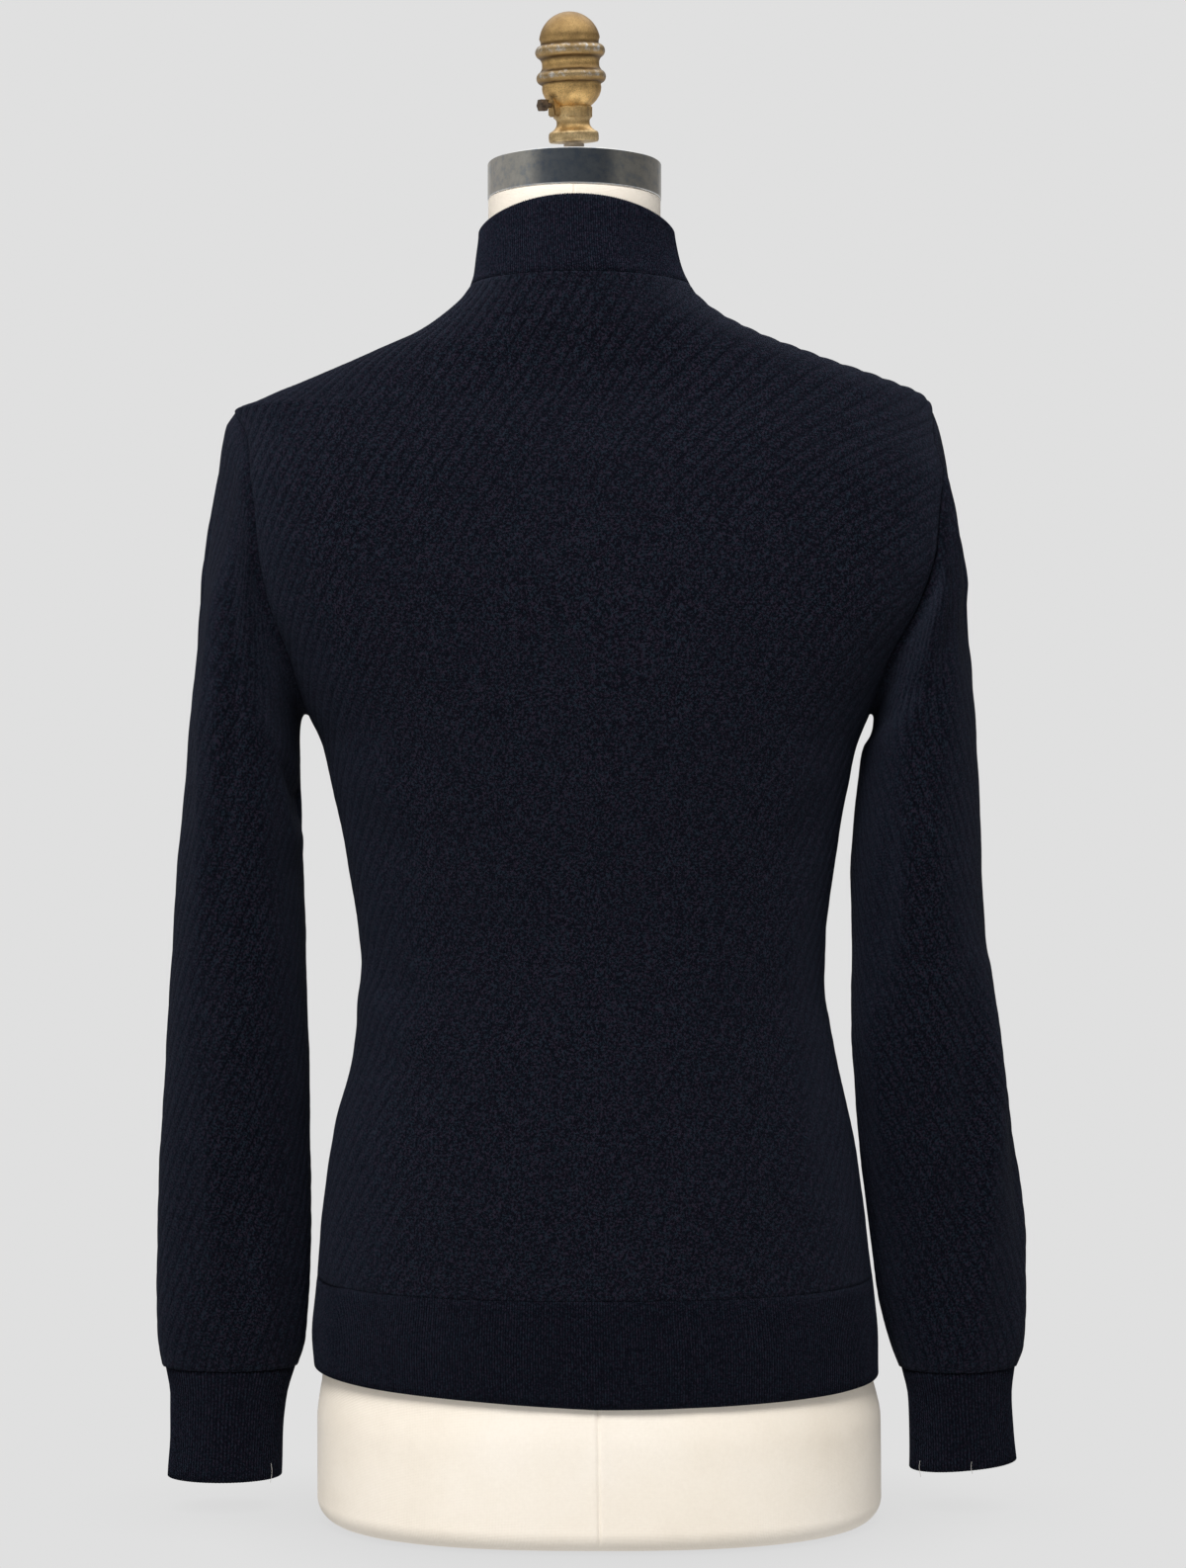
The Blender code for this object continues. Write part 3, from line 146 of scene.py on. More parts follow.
# The sweater's outside at each height: where its middle is, how far it reaches to the wearer's left
# and right of the origin, its depth in front and behind, how square it is, how far inside it the
# form lies, and how much further at the armhole.
Level = namedtuple("Level", "height middle left right front back square inset arm_inset")
BODY = [Level(*row) for row in (
    (0, 0.3, 176.1, 175.5, 112, 114, 2.5, 0, 0),
    (62, 1.0, 176.5, 175.3, 113.5, 115.5, 2.5, 0.3, 0),
    (86, 1.4, 177, 173.8, 114.5, 117, 2.5, 3.4, 0), (115, 1.9, 179, 173, 116, 118, 2.5, 4.6, 0),
    (146, 2.4, 176.3, 170.1, 113.5, 115.5, 2.5, 4.8, 0),
    (193, 3.1, 172.3, 164.3, 110, 111, 2.5, 4.8, 0),
    (239, 3.7, 166.2, 157.5, 105.5, 105, 2.5, 5, 0),
    (286, 4.3, 153.9, 146.9, 99, 96, 2.45, 5.8, 0),
    (332, 4.9, 149.9, 140.3, 95, 89.5, 2.4, 6.8, 0),
    (363, 5.3, 151.3, 140.7, 95.5, 88, 2.4, 6.9, 0),
    (410, 5.8, 158.7, 147.6, 100.5, 91, 2.4, 6.9, 0),
    (456, 6.4, 168, 155.6, 108, 96.5, 2.45, 6.7, 0), (478, 6.7, 173, 160, 111, 98.5, 2.5, 6.5, 0),
    (497, 6.9, 182, 167.5, 113, 100, 2.6, 6.4, 1), (530, 7.3, 196, 183, 113.5, 101, 3.0, 5.8, 6),
    (565, 7.7, 213, 206, 113, 101, 3.3, 5.2, 9), (600, 8.1, 222, 219.5, 109, 98, 3.4, 4.6, 10),
    (640, 8.6, 225, 222, 98, 91, 3.3, 4.2, 8), (668, 9.0, 226, 214.5, 83, 82, 2.8, 4.4, 3),
    (687, 9.3, 228.3, 208, 72, 73, 2.5, 5, 0), (692, 9.4, 215.8, 206.5, 70, 71, 2.4, 5, 0),
    (698, 9.5, 203, 200.5, 68.5, 69.5, 2.3, 5, 0), (704, 9.6, 188.8, 187.5, 67, 68, 2.25, 5, 0),
    (711, 9.8, 172.5, 168.8, 66, 67, 2.2, 5.4, 0),
    (723, 10.1, 144.8, 133.2, 66, 66.5, 2.15, 5.4, 0),
    (735, 10.5, 117.4, 101.8, 66, 66.5, 2.1, 5.4, 0),
    (748, 11.2, 98.2, 76.8, 64.5, 65, 2.05, 5.4, 0), (760, 12.0, 85.4, 61.8, 62, 62.5, 2, 5.2, 0),
    (772, 12.9, 78.5, 53.2, 60.5, 61, 2, 5.8, 0), (785, 13.9, 76.8, 48.9, 60, 60.5, 2, 6.6, 0),
    (800, 14.4, 75.2, 46.4, 60, 60, 2, 7, 0), (822, 14.9, 75.3, 45.5, 60, 60, 2, 6.8, 0),
)]

# A sleeve from the armhole to the cuff seam: its outermost point and its underarm point on each
# ring, half its depth from front to back, and how far forward it hangs.
Ring = namedtuple("Ring", "out_x out_z under_x under_z half_depth fore")
SLEEVE_LEFT = [Ring(*row) for row in (
    (234.4, 677, 184.5, 498, 61, 0), (237, 650, 186.6, 495.5, 61.5, 0),
    (240, 613, 187.6, 490.5, 62, 0), (246.3, 572, 188.2, 485.5, 62.5, 1),
    (252, 530, 188.5, 480, 63, 1), (257, 490, 188.6, 471, 62.5, 2), (261, 444, 188.4, 440, 60, 3),
    (264.5, 400, 187, 400, 56, 4), (271.3, 305, 183.7, 305, 48, 6),
    (274.6, 255, 182.6, 255, 43.5, 7), (278.7, 160, 182.4, 160, 35, 9),
    (278.8, 125, 184, 125, 33, 9), (278, 103, 186.2, 103, 31, 9.5),
    (276, 89.4, 190.2, 89.4, 29, 10),
)]
SLEEVE_RIGHT = [Ring(*row) for row in (
    (211.4, 677, 169.8, 498, 61, 0), (216.8, 650, 171.5, 495.5, 61.5, 0),
    (219.8, 613, 171, 489.5, 62, 0), (225.4, 572, 169.6, 484, 62.5, 1),
    (230.8, 530, 166, 477.5, 63, 1), (235.3, 490, 164, 469, 62.5, 2),
    (239.8, 398, 158, 398, 56, 4), (242.2, 355, 158.8, 355, 52, 5),
    (249.4, 305, 158.9, 303, 48, 6), (257, 255, 161.2, 255, 43.5, 7),
    (268.2, 160, 171.6, 160, 35, 9), (268.5, 127, 176.5, 127, 33, 9),
    (267, 103, 183.5, 101, 31, 9.5), (263, 89.8, 188.6, 87.8, 29, 10),
)]
CUFF_LEFT = [Ring(*row) for row in (
    (273.6, 89.0, 192, 89.0, 28, 10), (270.4, 69, 197.8, 69, 25.5, 10),
    (270.6, 45, 200, 45, 25, 10.5), (272.4, 19.5, 201, 19.5, 25.5, 11),
)]
CUFF_RIGHT = [Ring(*row) for row in (
    (261.2, 89.4, 190.2, 87.4, 28, 10), (259.2, 70, 194.7, 68, 25.5, 10),
    (260.8, 48, 195.8, 45, 25, 10.5), (262.4, 30, 195.5, 24, 25.5, 11),
)]
RING_SQUARE = 2.15

# How much each ring below the armhole follows the seam's own bulge.
ARMHOLE_PULL = [1, 0.95, 0.75, 0.5, 0.25]
# The largest folds: a trough has a negative rise. A turn of 0 is the sleeve's outermost line and
# 90 is its back.
Fold = namedtuple("Fold", "high low turn_high turn_low width rise")
FOLDS_LEFT = [Fold(*row) for row in (
    (660, 330, 48, 60, 11, 2.6), (540, 300, 88, 84, 12, -2.4), (480, 380, 128, 118, 12, 1.8),
    (560, 330, -70, -58, 13, 2.2), (500, 260, -104, -96, 13, -2.0),
)]
FOLDS_RIGHT = [Fold(*row) for row in (
    (640, 420, 66, 96, 13, -2.6), (350, 100, 26, 66, 12, 2.4), (340, 120, 2, 34, 11, -2.2),
    (330, 230, 150, 142, 13, 1.8), (600, 300, -72, -60, 13, 2.2),
    (420, 180, -110, -100, 14, -2.0),
)]

# Main creases on the upright plane through the origin, those behind as the camera sees them and
# those in front as seen straight on: a trough has a negative rise.
CREASE_DEPTH = 2.2 * MM
Crease = namedtuple("Crease", "from_x from_z via_x via_z to_x to_z width rise")
CREASES_BACK = [Crease(*row) for row in (
    (150, 358, 132, 330, 96, 312, 13, -1.3), (152, 330, 128, 300, 100, 286, 14, 1.1),
    (146, 300, 118, 272, 88, 262, 15, -0.9), (-146, 290, -152, 230, -160, 172, 8, 0.8),
    (-142, 282, -148, 232, -158, 180, 9, -1.2), (164, 214, 167, 168, 170, 120, 7, 0.5),
    (42, 664, 14, 665, -26, 663, 9, 0.7), (150, 470, 128, 440, 104, 425, 16, 1.0),
    (158, 452, 138, 420, 118, 402, 12, -1.0), (-136, 478, -118, 444, -98, 428, 15, 0.9),
    (-140, 456, -126, 424, -108, 405, 12, -0.9), (-138, 392, -112, 360, -76, 344, 18, 0.8),
    (120, 250, 80, 236, 30, 240, 20, -0.7), (-40, 262, -84, 240, -122, 244, 20, -0.7),
    (60, 190, 52, 172, 50, 152, 12, 0.7), (-76, 196, -70, 174, -68, 154, 12, 0.7),
)]
CREASES_FRONT = [Crease(*row) for row in (
    (150, 352, 126, 326, 92, 310, 14, -1.2), (150, 322, 124, 296, 96, 284, 14, 1.0),
    (-146, 346, -120, 322, -88, 305, 14, -1.2), (-146, 316, -118, 292, -90, 280, 14, 1.0),
    (156, 470, 124, 448, 90, 440, 16, 1.0), (-146, 468, -116, 446, -82, 438, 16, 1.0),
    (152, 450, 128, 424, 104, 410, 12, -1.0), (-142, 448, -118, 422, -94, 408, 12, -1.0),
    (24, 380, 40, 350, 70, 330, 15, 0.8), (-24, 372, -42, 344, -72, 322, 15, 0.8),
    (30, 700, 56, 676, 88, 664, 12, 0.7), (-30, 700, -54, 676, -80, 664, 12, 0.7),
)]
CREASES_SLEEVE_LEFT = [Crease(*row) for row in (
    (234, 661, 238, 560, 240, 430, 9, 2.2), (226, 640, 230, 540, 232, 440, 6, -1.0),
    (216, 592, 213, 578, 212, 566, 4, -1.7), (208, 489, 197, 458, 191, 410, 7, 1.9),
    (200, 470, 192, 448, 190, 428, 5, -3.0), (252, 500, 254, 440, 255, 380, 7, -0.8),
    (236, 380, 232, 320, 236, 262, 9, 1.0), (214, 404, 222, 352, 220, 300, 9, -1.1),
    (246, 250, 244, 190, 240, 140, 8, 0.9), (228, 190, 226, 150, 222, 110, 8, -0.8),
    (206, 180, 208, 140, 206, 104, 7, 0.9),
)]
CREASES_SLEEVE_RIGHT = [Crease(*row) for row in (
    (-214, 631, -206, 580, -166, 517, 8, -2.6), (-224, 640, -222, 580, -200, 520, 8, 1.6),
    (-242, 340, -245, 255, -238, 96, 8, 2.4), (-232, 330, -232, 250, -226, 150, 8, -1.4),
    (-170, 315, -176, 254, -180, 210, 6, 0.9), (-220, 500, -224, 440, -226, 372, 10, -0.9),
    (-200, 470, -196, 410, -192, 350, 10, 1.1), (-184, 430, -178, 380, -176, 330, 8, -1.2),
    (-212, 250, -210, 190, -206, 130, 9, 0.9), (-256, 420, -259, 350, -262, 290, 6, -0.8),
)]
CREASES_SLEEVE_FRONT = [Crease(*row) for row in (
    (236, 640, 240, 560, 242, 460, 9, 1.8), (206, 560, 200, 500, 196, 450, 7, -2.0),
    (214, 470, 222, 400, 224, 330, 10, -1.2), (240, 400, 238, 320, 242, 240, 9, 1.1),
    (216, 240, 214, 180, 212, 130, 9, 1.0),
)]
CREASES_SLEEVE_FRONT_RIGHT = [Crease(*row) for row in (
    (-218, 640, -222, 560, -224, 470, 9, 1.6), (-186, 560, -182, 500, -176, 450, 7, -2.0),
    (-196, 460, -200, 400, -204, 330, 10, -1.1), (-224, 380, -226, 300, -232, 220, 9, 1.2),
    (-204, 240, -206, 180, -208, 130, 9, 0.9),
)]

# Thread ends at the cuffs' lower edges
THREADS = [
    [(205.8, 3.4, 29.5), (205.3, 3.9, 24.0), (206.3, 3.7, 17.2)],
    [(-200.3, 3.8, 31.0), (-199.9, 4.2, 26.5), (-200.9, 4.0, 21.0)],
    [(-231.3, 15.2, 33.0), (-230.9, 15.4, 29.5), (-231.8, 15.2, 25.4)],
]

# The cut of the cloth that shows each of the part's nodes, in the order in which build makes them:
# its width and length in metres, its area, and how it is held
CUTS = {
    "back_panel": ((0.490, 0.650), 0.265, "draped"),
    "front_panel_left": ((0.250, 0.650), 0.130, "draped"),
    "front_panel_right": ((0.250, 0.650), 0.132, "draped"),
    "hem_back": ((0.485, 0.0635), 0.0308, "draped"),
    "hem_front_left": ((0.240, 0.0635), 0.0150, "draped"),
    "hem_front_right": ((0.240, 0.0635), 0.0150, "draped"),
    "collar": ((0.360, 0.063), 0.0175, "draped"),
    "sleeve_left": ((0.480, 0.590), 0.147, "hung"),
    "sleeve_right": ((0.480, 0.590), 0.147, "hung"),
    "cuff_left": ((0.195, 0.070), 0.0136, "hung"),
    "cuff_right": ((0.190, 0.064), 0.0120, "hung"),
    "zip_tape_left": ((0.010, 0.697), 0.0035, "draped"),
    "zip_tape_right": ((0.010, 0.697), 0.0035, "draped"),
}


# Curves through the tables


def smooth(heights, values):
    """A smooth curve through rows that never overshoots them."""
    x, y = np.array(heights, float), np.array(values, float)
    step = np.diff(x)
    slope = np.diff(y) / step
    tangent = np.zeros_like(y)
    tangent[0], tangent[-1] = slope[0], slope[-1]
    for i in range(1, len(x) - 1):
        if slope[i - 1] * slope[i] > 0:
            before = 2 * step[i] + step[i - 1]
            after = step[i] + 2 * step[i - 1]
            tangent[i] = (before + after) / (before / slope[i - 1] + after / slope[i])

    def curve(at):
        at = np.clip(at, x[0], x[-1])
        i = np.clip(np.searchsorted(x, at, side="right") - 1, 0, len(step) - 1)
        t = (at - x[i]) / step[i]
        start_part = (1 + 2 * t) * (1 - t) ** 2 * y[i] + t * (1 - t) ** 2 * step[i] * tangent[i]
        end_part = t * t * (3 - 2 * t) * y[i + 1] + t * t * (t - 1) * step[i] * tangent[i + 1]
        return start_part + end_part

    return curve


def body_column(name):
    """One column of the body table as a curve over the height, in metres where it is a size."""
    scale = 1 if name == "square" else MM
    heights = [row.height * MM for row in BODY]
    return smooth(heights, [getattr(row, name) * scale for row in BODY])


MIDDLE, LEFT, RIGHT, FRONT, BACK, SQUARE, INSET, ARM_INSET = (
    body_column(name) for name in Level._fields[1:]
)


def half_width(side, z):
    """The reach from the sweater's middle to the wearer's left (a positive side) or right."""
    return np.where(side >= 0, LEFT(z) - MIDDLE(z), RIGHT(z) + MIDDLE(z))


def body(turn, z):
    """The sweater's outside at a turn around the body (0 at +X, 90 degrees behind) and a height."""
    c, s = np.cos(turn), np.sin(turn)
    depth = np.where(s >= 0, BACK(z), FRONT(z))
    power = SQUARE(z)
    reach = (np.abs(c / half_width(c, z)) ** power + np.abs(s / depth) ** power) ** (-1 / power)
    return np.stack([MIDDLE(z) + reach * c, reach * s, z + 0 * reach], axis=-1)


def body_field(p):
    """One on the sweater's outside, and more further out."""
    x, y, z = p[..., 0] - MIDDLE(p[..., 2]), p[..., 1], p[..., 2]
    depth = np.where(y >= 0, BACK(z), FRONT(z))
    power = SQUARE(z)
    return np.abs(x / half_width(x, z)) ** power + np.abs(y / depth) ** power


def body_normal(p):
    """The direction out of the sweater's outside."""
    probe = 0.4 * MM
    slopes = []
    for axis in np.eye(3):
        slopes.append(body_field(p + axis * probe) - body_field(p - axis * probe))
    normal = np.stack(slopes, axis=-1)
    return normal / np.linalg.norm(normal, axis=-1, keepdims=True)


def runs(points):
    """The length along each row of points, from nothing at its first."""
    lengths = np.linalg.norm(np.diff(points, axis=1), axis=-1)
    return np.concatenate([np.zeros((len(points), 1)), np.cumsum(lengths, axis=1)], axis=1)


def run(points):
    """The length along one line of points."""
    return runs(points[None])[0]


HALF_TURN_STEPS = 90


def girths(z, front, side):
    """The turns from the middle of the front or back round one side, and the length to each."""
    share = np.linspace(0, 1, HALF_TURN_STEPS + 1)
    begin = -math.pi / 2 if front else math.pi / 2
    away = side if front else -side
    turns = begin + away * math.pi * share
    z = np.atleast_1d(z)
    return turns, runs(body(turns[None, :], z[:, None]))


def turn_at(along, z, front):
    """The turn of each point that lies so far along from the middle of the front or back."""
    along, z = np.atleast_1d(along).astype(float), np.atleast_1d(z).astype(float)
    result = np.zeros_like(along)
    for side in (1, -1):
        chosen = np.nonzero((along >= 0) if side > 0 else (along < 0))[0]
        for part in np.array_split(chosen, max(1, len(chosen) // 4000)):
            if len(part) == 0:
                continue
            turns, total = girths(z[part], front, side)
            length = np.abs(along[part])
            i = np.clip((total < length[:, None]).sum(axis=1) - 1, 0, HALF_TURN_STEPS - 1)
            row = np.arange(len(part))
            share = (length - total[row, i]) / (total[row, i + 1] - total[row, i])
            result[part] = turns[i] + (turns[i + 1] - turns[i]) * share
    return result


def along_at(turn, z, front):
    """How far along from the middle of the front or back each turn lies."""
    turn, z = np.atleast_1d(turn).astype(float), np.atleast_1d(z).astype(float)
    begin = -math.pi / 2 if front else math.pi / 2
    off = np.angle(np.exp(1j * (turn - begin)))
    result = np.zeros_like(turn)
    for side in (1, -1):
        away = side if front else -side
        chosen = np.nonzero(off * away >= 0 if side > 0 else off * away > 0)[0]
        if len(chosen) == 0:
            continue
        _, total = girths(z[chosen], front, side)
        place = np.abs(off[chosen]) / math.pi * HALF_TURN_STEPS
        i = np.clip(place.astype(int), 0, HALF_TURN_STEPS - 1)
        row = np.arange(len(chosen))
        length = total[row, i] + (total[row, i + 1] - total[row, i]) * (place - i)
        result[chosen] = side * length
    return result


# The armholes


def armhole_point(side, share):
    """A point of the armhole seam: share 0 is the shoulder, 90 degrees the back, 180 the armpit."""
    middle, half = (SHOULDER_TIP + ARMPIT) / 2, (SHOULDER_TIP - ARMPIT) / 2
    z = middle + half * np.cos(share)
    s = np.sin(share)
    y = np.where(s >= 0, ARMHOLE_BACK, ARMHOLE_FRONT) * s
    depth = np.where(s >= 0, BACK(z), FRONT(z))
    power = SQUARE(z)
    reach = half_width(side, z) * (1 - (np.abs(y) / depth) ** power) ** (1 / power)
    return np.stack([MIDDLE(z) + side * reach, y, z], axis=-1)


def neck_seam(turn):
    """The height of the neck seam, which drops in front."""
    return NECK_SEAM - NECK_DROP * np.maximum(0, -np.sin(turn)) ** 1.5


# Sleeves


def ring_points(ring, side, share):
    """Points of one ring: share 0 is its outermost point and 90 degrees its back."""
    middle = np.array([ring.out_x + ring.under_x, 0, ring.out_z + ring.under_z]) / 2 * MM
    long = np.array([ring.out_x - ring.under_x, 0, ring.out_z - ring.under_z]) / 2 * MM
    c, s = np.cos(share), np.sin(share)
    power = 2 / RING_SQUARE
    across = np.sign(c) * np.abs(c) ** power
    deep = np.sign(s) * np.abs(s) ** power
    points = middle + across[:, None] * long
    points[:, 1] += ring.half_depth * MM * deep - ring.fore * MM
    points[:, 0] *= side
    return points


def armhole_ring(side):
    """A plain ring from the top of the armhole seam to the armpit."""
    top, low = armhole_point(side, np.array([0.0, math.pi])) / MM
    depth = (ARMHOLE_BACK + ARMHOLE_FRONT) / 2 / MM
    return Ring(abs(top[0]), top[2], abs(low[0]), low[2], depth, 0)


def armhole_bulge(side, share):
    """How far the armhole seam stands off its plain ring."""
    return armhole_point(side, share) - ring_points(armhole_ring(side), side, share)


def tube_normals(grid):
    """Directions out of a tube given as rings of points."""
    grid = np.array(grid)
    around = np.roll(grid, -1, axis=1) - np.roll(grid, 1, axis=1)
    down = np.gradient(grid, axis=0)
    normal = np.cross(around, down)
    normal /= np.linalg.norm(normal, axis=-1, keepdims=True)
    middle = grid.mean(axis=1, keepdims=True)
    outward = ((grid - middle) * normal).sum(axis=-1).sum()
    return normal if outward > 0 else -normal


def fold_rise(folds, turn, z):
    """How far the folds lift or sink the cloth at a turn around the sleeve and a height."""
    total = np.zeros_like(z)
    for fold in folds:
        down = (fold.high - z / MM) / (fold.high - fold.low)
        centre = np.radians(fold.turn_high + (fold.turn_low - fold.turn_high) * down)
        off = np.angle(np.exp(1j * (turn - centre)))
        fade = np.clip(down * 4, 0, 1) * np.clip((1 - down) * 3, 0, 1)
        total += fold.rise * MM * fade * np.exp(-((off / math.radians(fold.width)) ** 2))
    return total


# Shells


def shown(name, data, look=None):
    """A new object in the scene, with its finish."""
    if look:
        data.materials.clear()
        data.materials.append(look)
    made = bpy.data.objects.new(name, data)
    bpy.context.scene.collection.objects.link(made)
    return made


def deepest(rise, step, tube):
    """How much lower than each point the outside lies somewhere within a step of it."""
    low = rise.copy()
    for k in range(1, step + 1):
        low[k:] = np.minimum(low[k:], rise[:-k])
        low[:-k] = np.minimum(low[:-k], rise[k:])
    found = low.copy()
    for k in range(1, step + 1):
        if tube:
            found = np.minimum(found, np.minimum(np.roll(low, k, axis=1), np.roll(low, -k, axis=1)))
        else:
            found[:, k:] = np.minimum(found[:, k:], low[:, :-k])
            found[:, :-k] = np.minimum(found[:, :-k], low[:, k:])
    return rise - found


def grid_shell(name, base, normal, rise, uv, look, tube, wall=WALL, step=INNER_STEP):
    """A closed thin shell: a fine outside, rounded edges and a coarser inside.

    base and normal are rows of points, and rise is how far the outside lies off them. uv has one
    more column than they have where the rows close into a tube.
    """
    outer = base + normal * rise[..., None]
    rows, columns = outer.shape[:2]
    across = np.arange(columns if tube else columns - 1)
    r = np.repeat(np.arange(rows - 1), len(across))
    c = np.tile(across, rows - 1)
    corners = [(r, c), (r, c + 1), (r + 1, c + 1), (r + 1, c)]
    verts = [outer.reshape(-1, 3)]
    quads = np.stack([a * columns + b % columns for a, b in corners], axis=1)
    quad_uv = np.stack([uv[a, b] for a, b in corners], axis=1)

    if tube:
        loops = [[(0, k) for k in range(columns + 1)],
                 [(rows - 1, k) for k in range(columns, -1, -1)]]
    else:
        loops = [[(0, k) for k in range(columns - 1)]
                 + [(k, columns - 1) for k in range(rows - 1)]
                 + [(rows - 1, k) for k in range(columns - 1, 0, -1)]
                 + [(k, 0) for k in range(rows - 1, -1, -1)]]

    row_marks = sorted(set(range(0, rows - 1, step)) | {rows - 1})
    column_marks = sorted(set(range(0, columns - (0 if tube else 1), step))
                          | (set() if tube else {columns - 1}))
    inside_first = rows * columns
    inside = {}
    for i in row_marks:
        for j in column_marks:
            inside[(i, j)] = inside_first + len(inside)
    marks = np.array(list(inside))
    sunk = outer - normal * (wall + deepest(rise, step, tube))[..., None]
    verts.append(sunk[marks[:, 0], marks[:, 1]])
    total = inside_first + len(inside)

    faces, face_uv = [], []
    pairs = list(zip(column_marks, column_marks[1:] + ([columns] if tube else [])))
    for i, i_next in zip(row_marks, row_marks[1:]):
        for j, j_next in pairs:
            spot = [(i, j), (i_next, j), (i_next, j_next), (i, j_next)]
            faces.append([inside[(a, b % columns)] for a, b in spot])
            face_uv.append([uv[a, b] for a, b in spot])

    for loop in loops:
        inner_rows = {0: 1, rows - 1: rows - 2}
        border = loop[:-1] if tube or loop[0] == loop[-1] else loop
        place, up, away = [], [], []
        for a, b in border:
            b %= columns
            here = outer[a, b]
            out = np.zeros(3)
            if a in inner_rows:
                out += unit(here - outer[inner_rows[a], b])
            if not tube and b in (0, columns - 1):
                out += unit(here - outer[a, 1 if b == 0 else columns - 2])
            n = normal[a, b]
            out = unit(out - n * out.dot(n))
            place.append(here)
            up.append(n)
            away.append(out)
        place, up, away = np.array(place), np.array(up), np.array(away)
        count = len(border)
        ring = [a * columns + b % columns for a, b in border]
        for turn in (math.radians(42), math.radians(90), math.radians(138)):
            verts.append(place + up * (math.cos(turn) - 1) * wall / 2 + away * math.sin(turn) * LIP)
            fresh = list(range(total, total + count))
            total += count
            for k in range(count):
                m = (k + 1) % count
                faces.append([ring[m], ring[k], fresh[k], fresh[m]])
                (a, b), (e, f) = loop[k], loop[k + 1] if tube else border[m]
                face_uv.append([uv[e, f], uv[a, b], uv[a, b], uv[e, f]])
            ring = fresh
        held = [k for k, (a, b) in enumerate(border) if (a, b % columns) in inside]
        for one, other in zip(held, held[1:] + [held[0] + count]):
            middle = (one + other) // 2
            low, high = (inside[(a, b % columns)] for a, b in (border[one], border[other % count]))
            for k in range(one, other):
                end = low if k < middle else high
                faces.append([ring[(k + 1) % count], ring[k % count], end])
            faces.append([ring[middle % count], low, high])
            face_uv += [[uv[border[one]]] * 3] * (other - one + 1)

    probe = quads[len(quads) // 2]
    a, b, d = verts[0][probe[[0, 1, 3]]]
    if np.cross(b - a, d - a).dot(normal.reshape(-1, 3)[probe[0]]) < 0:
        quads, quad_uv = quads[:, ::-1], quad_uv[:, ::-1]
        faces = [face[::-1] for face in faces]
        face_uv = [spots[::-1] for spots in face_uv]

    mesh = bpy.data.meshes.new(name)
    mesh.from_pydata(np.concatenate(verts).tolist(), [], quads.tolist() + faces)
    flat = np.concatenate([quad_uv.reshape(-1, 2)] + [np.array(s).reshape(-1, 2) for s in face_uv])
    mesh.uv_layers.new(name="cut").data.foreach_set("uv", flat.astype(np.float32).ravel())
    mesh.polygons.foreach_set("use_smooth", np.ones(len(mesh.polygons), bool))
    return shown(name, mesh, look)


def unit(vector):
    return vector / max(np.linalg.norm(vector), 1e-12)


# Folds of the cloth


def seen(points):
    """Where the camera behind sees each point, on the upright plane through the origin."""
    share = CAMERA_BACK / (CAMERA_BACK - points[..., 1])
    x = CAMERA_SIDE + (points[..., 0] - CAMERA_SIDE) * share
    z = CAMERA_HIGH + (points[..., 2] - CAMERA_HIGH) * share
    return np.stack([x, z], axis=-1)


def crease_rise(points, creases, behind):
    """How far the creases lift or sink the cloth on the side behind, or in front."""
    flat = seen(points) if behind else points[..., [0, 2]]
    facing = points[..., 1] > -6 * MM if behind else points[..., 1] < 6 * MM
    total = np.zeros(flat.shape[:-1])
    for crease in creases:
        ends = np.array([(crease.from_x, crease.from_z), (crease.via_x, crease.via_z),
                         (crease.to_x, crease.to_z)]) * MM
        lengths = np.linalg.norm(np.diff(ends, axis=0), axis=1)
        best = np.full(total.shape, math.inf)
        where = np.zeros(total.shape)
        for k in (0, 1):
            edge = ends[k + 1] - ends[k]
            share = np.clip(((flat - ends[k]) @ edge) / (edge @ edge), 0, 1)
            off = np.linalg.norm(flat - ends[k] - share[..., None] * edge, axis=-1)
            closer = off < best
            best = np.where(closer, off, best)
            reach = (lengths[:k].sum() + share * lengths[k]) / lengths.sum()
            where = np.where(closer, reach, where)
        fade = np.sin(math.pi * np.clip(where * 0.9 + 0.05, 0, 1)) ** 0.8
        total += CREASE_DEPTH * crease.rise * fade * np.exp(-((best / (crease.width * MM)) ** 2))
    return total * facing


def unevenness(points, size):
    """Slow, shallow swells all over the cloth."""
    x, y, z = points[..., 0], points[..., 1], points[..., 2]
    swell = np.sin(x * 61 + z * 23 + 1.3) * np.sin(z * 47 - x * 19 + y * 31)
    swell += 0.6 * np.sin(x * 113 - z * 71 + y * 89 + 0.4) * np.sin(z * 97 + x * 41 + 2.1)
    return size * swell


def rib_height(u, v, lean, pitch, angle, depth):
    """A rounded ridge between narrow furrows, along slanting lines of the cut."""
    phase = (u * math.sin(angle) + lean * v * math.cos(angle)) / pitch
    return depth * (np.abs(np.sin(math.pi * phase)) ** 0.7 - 0.75)


# Body panels


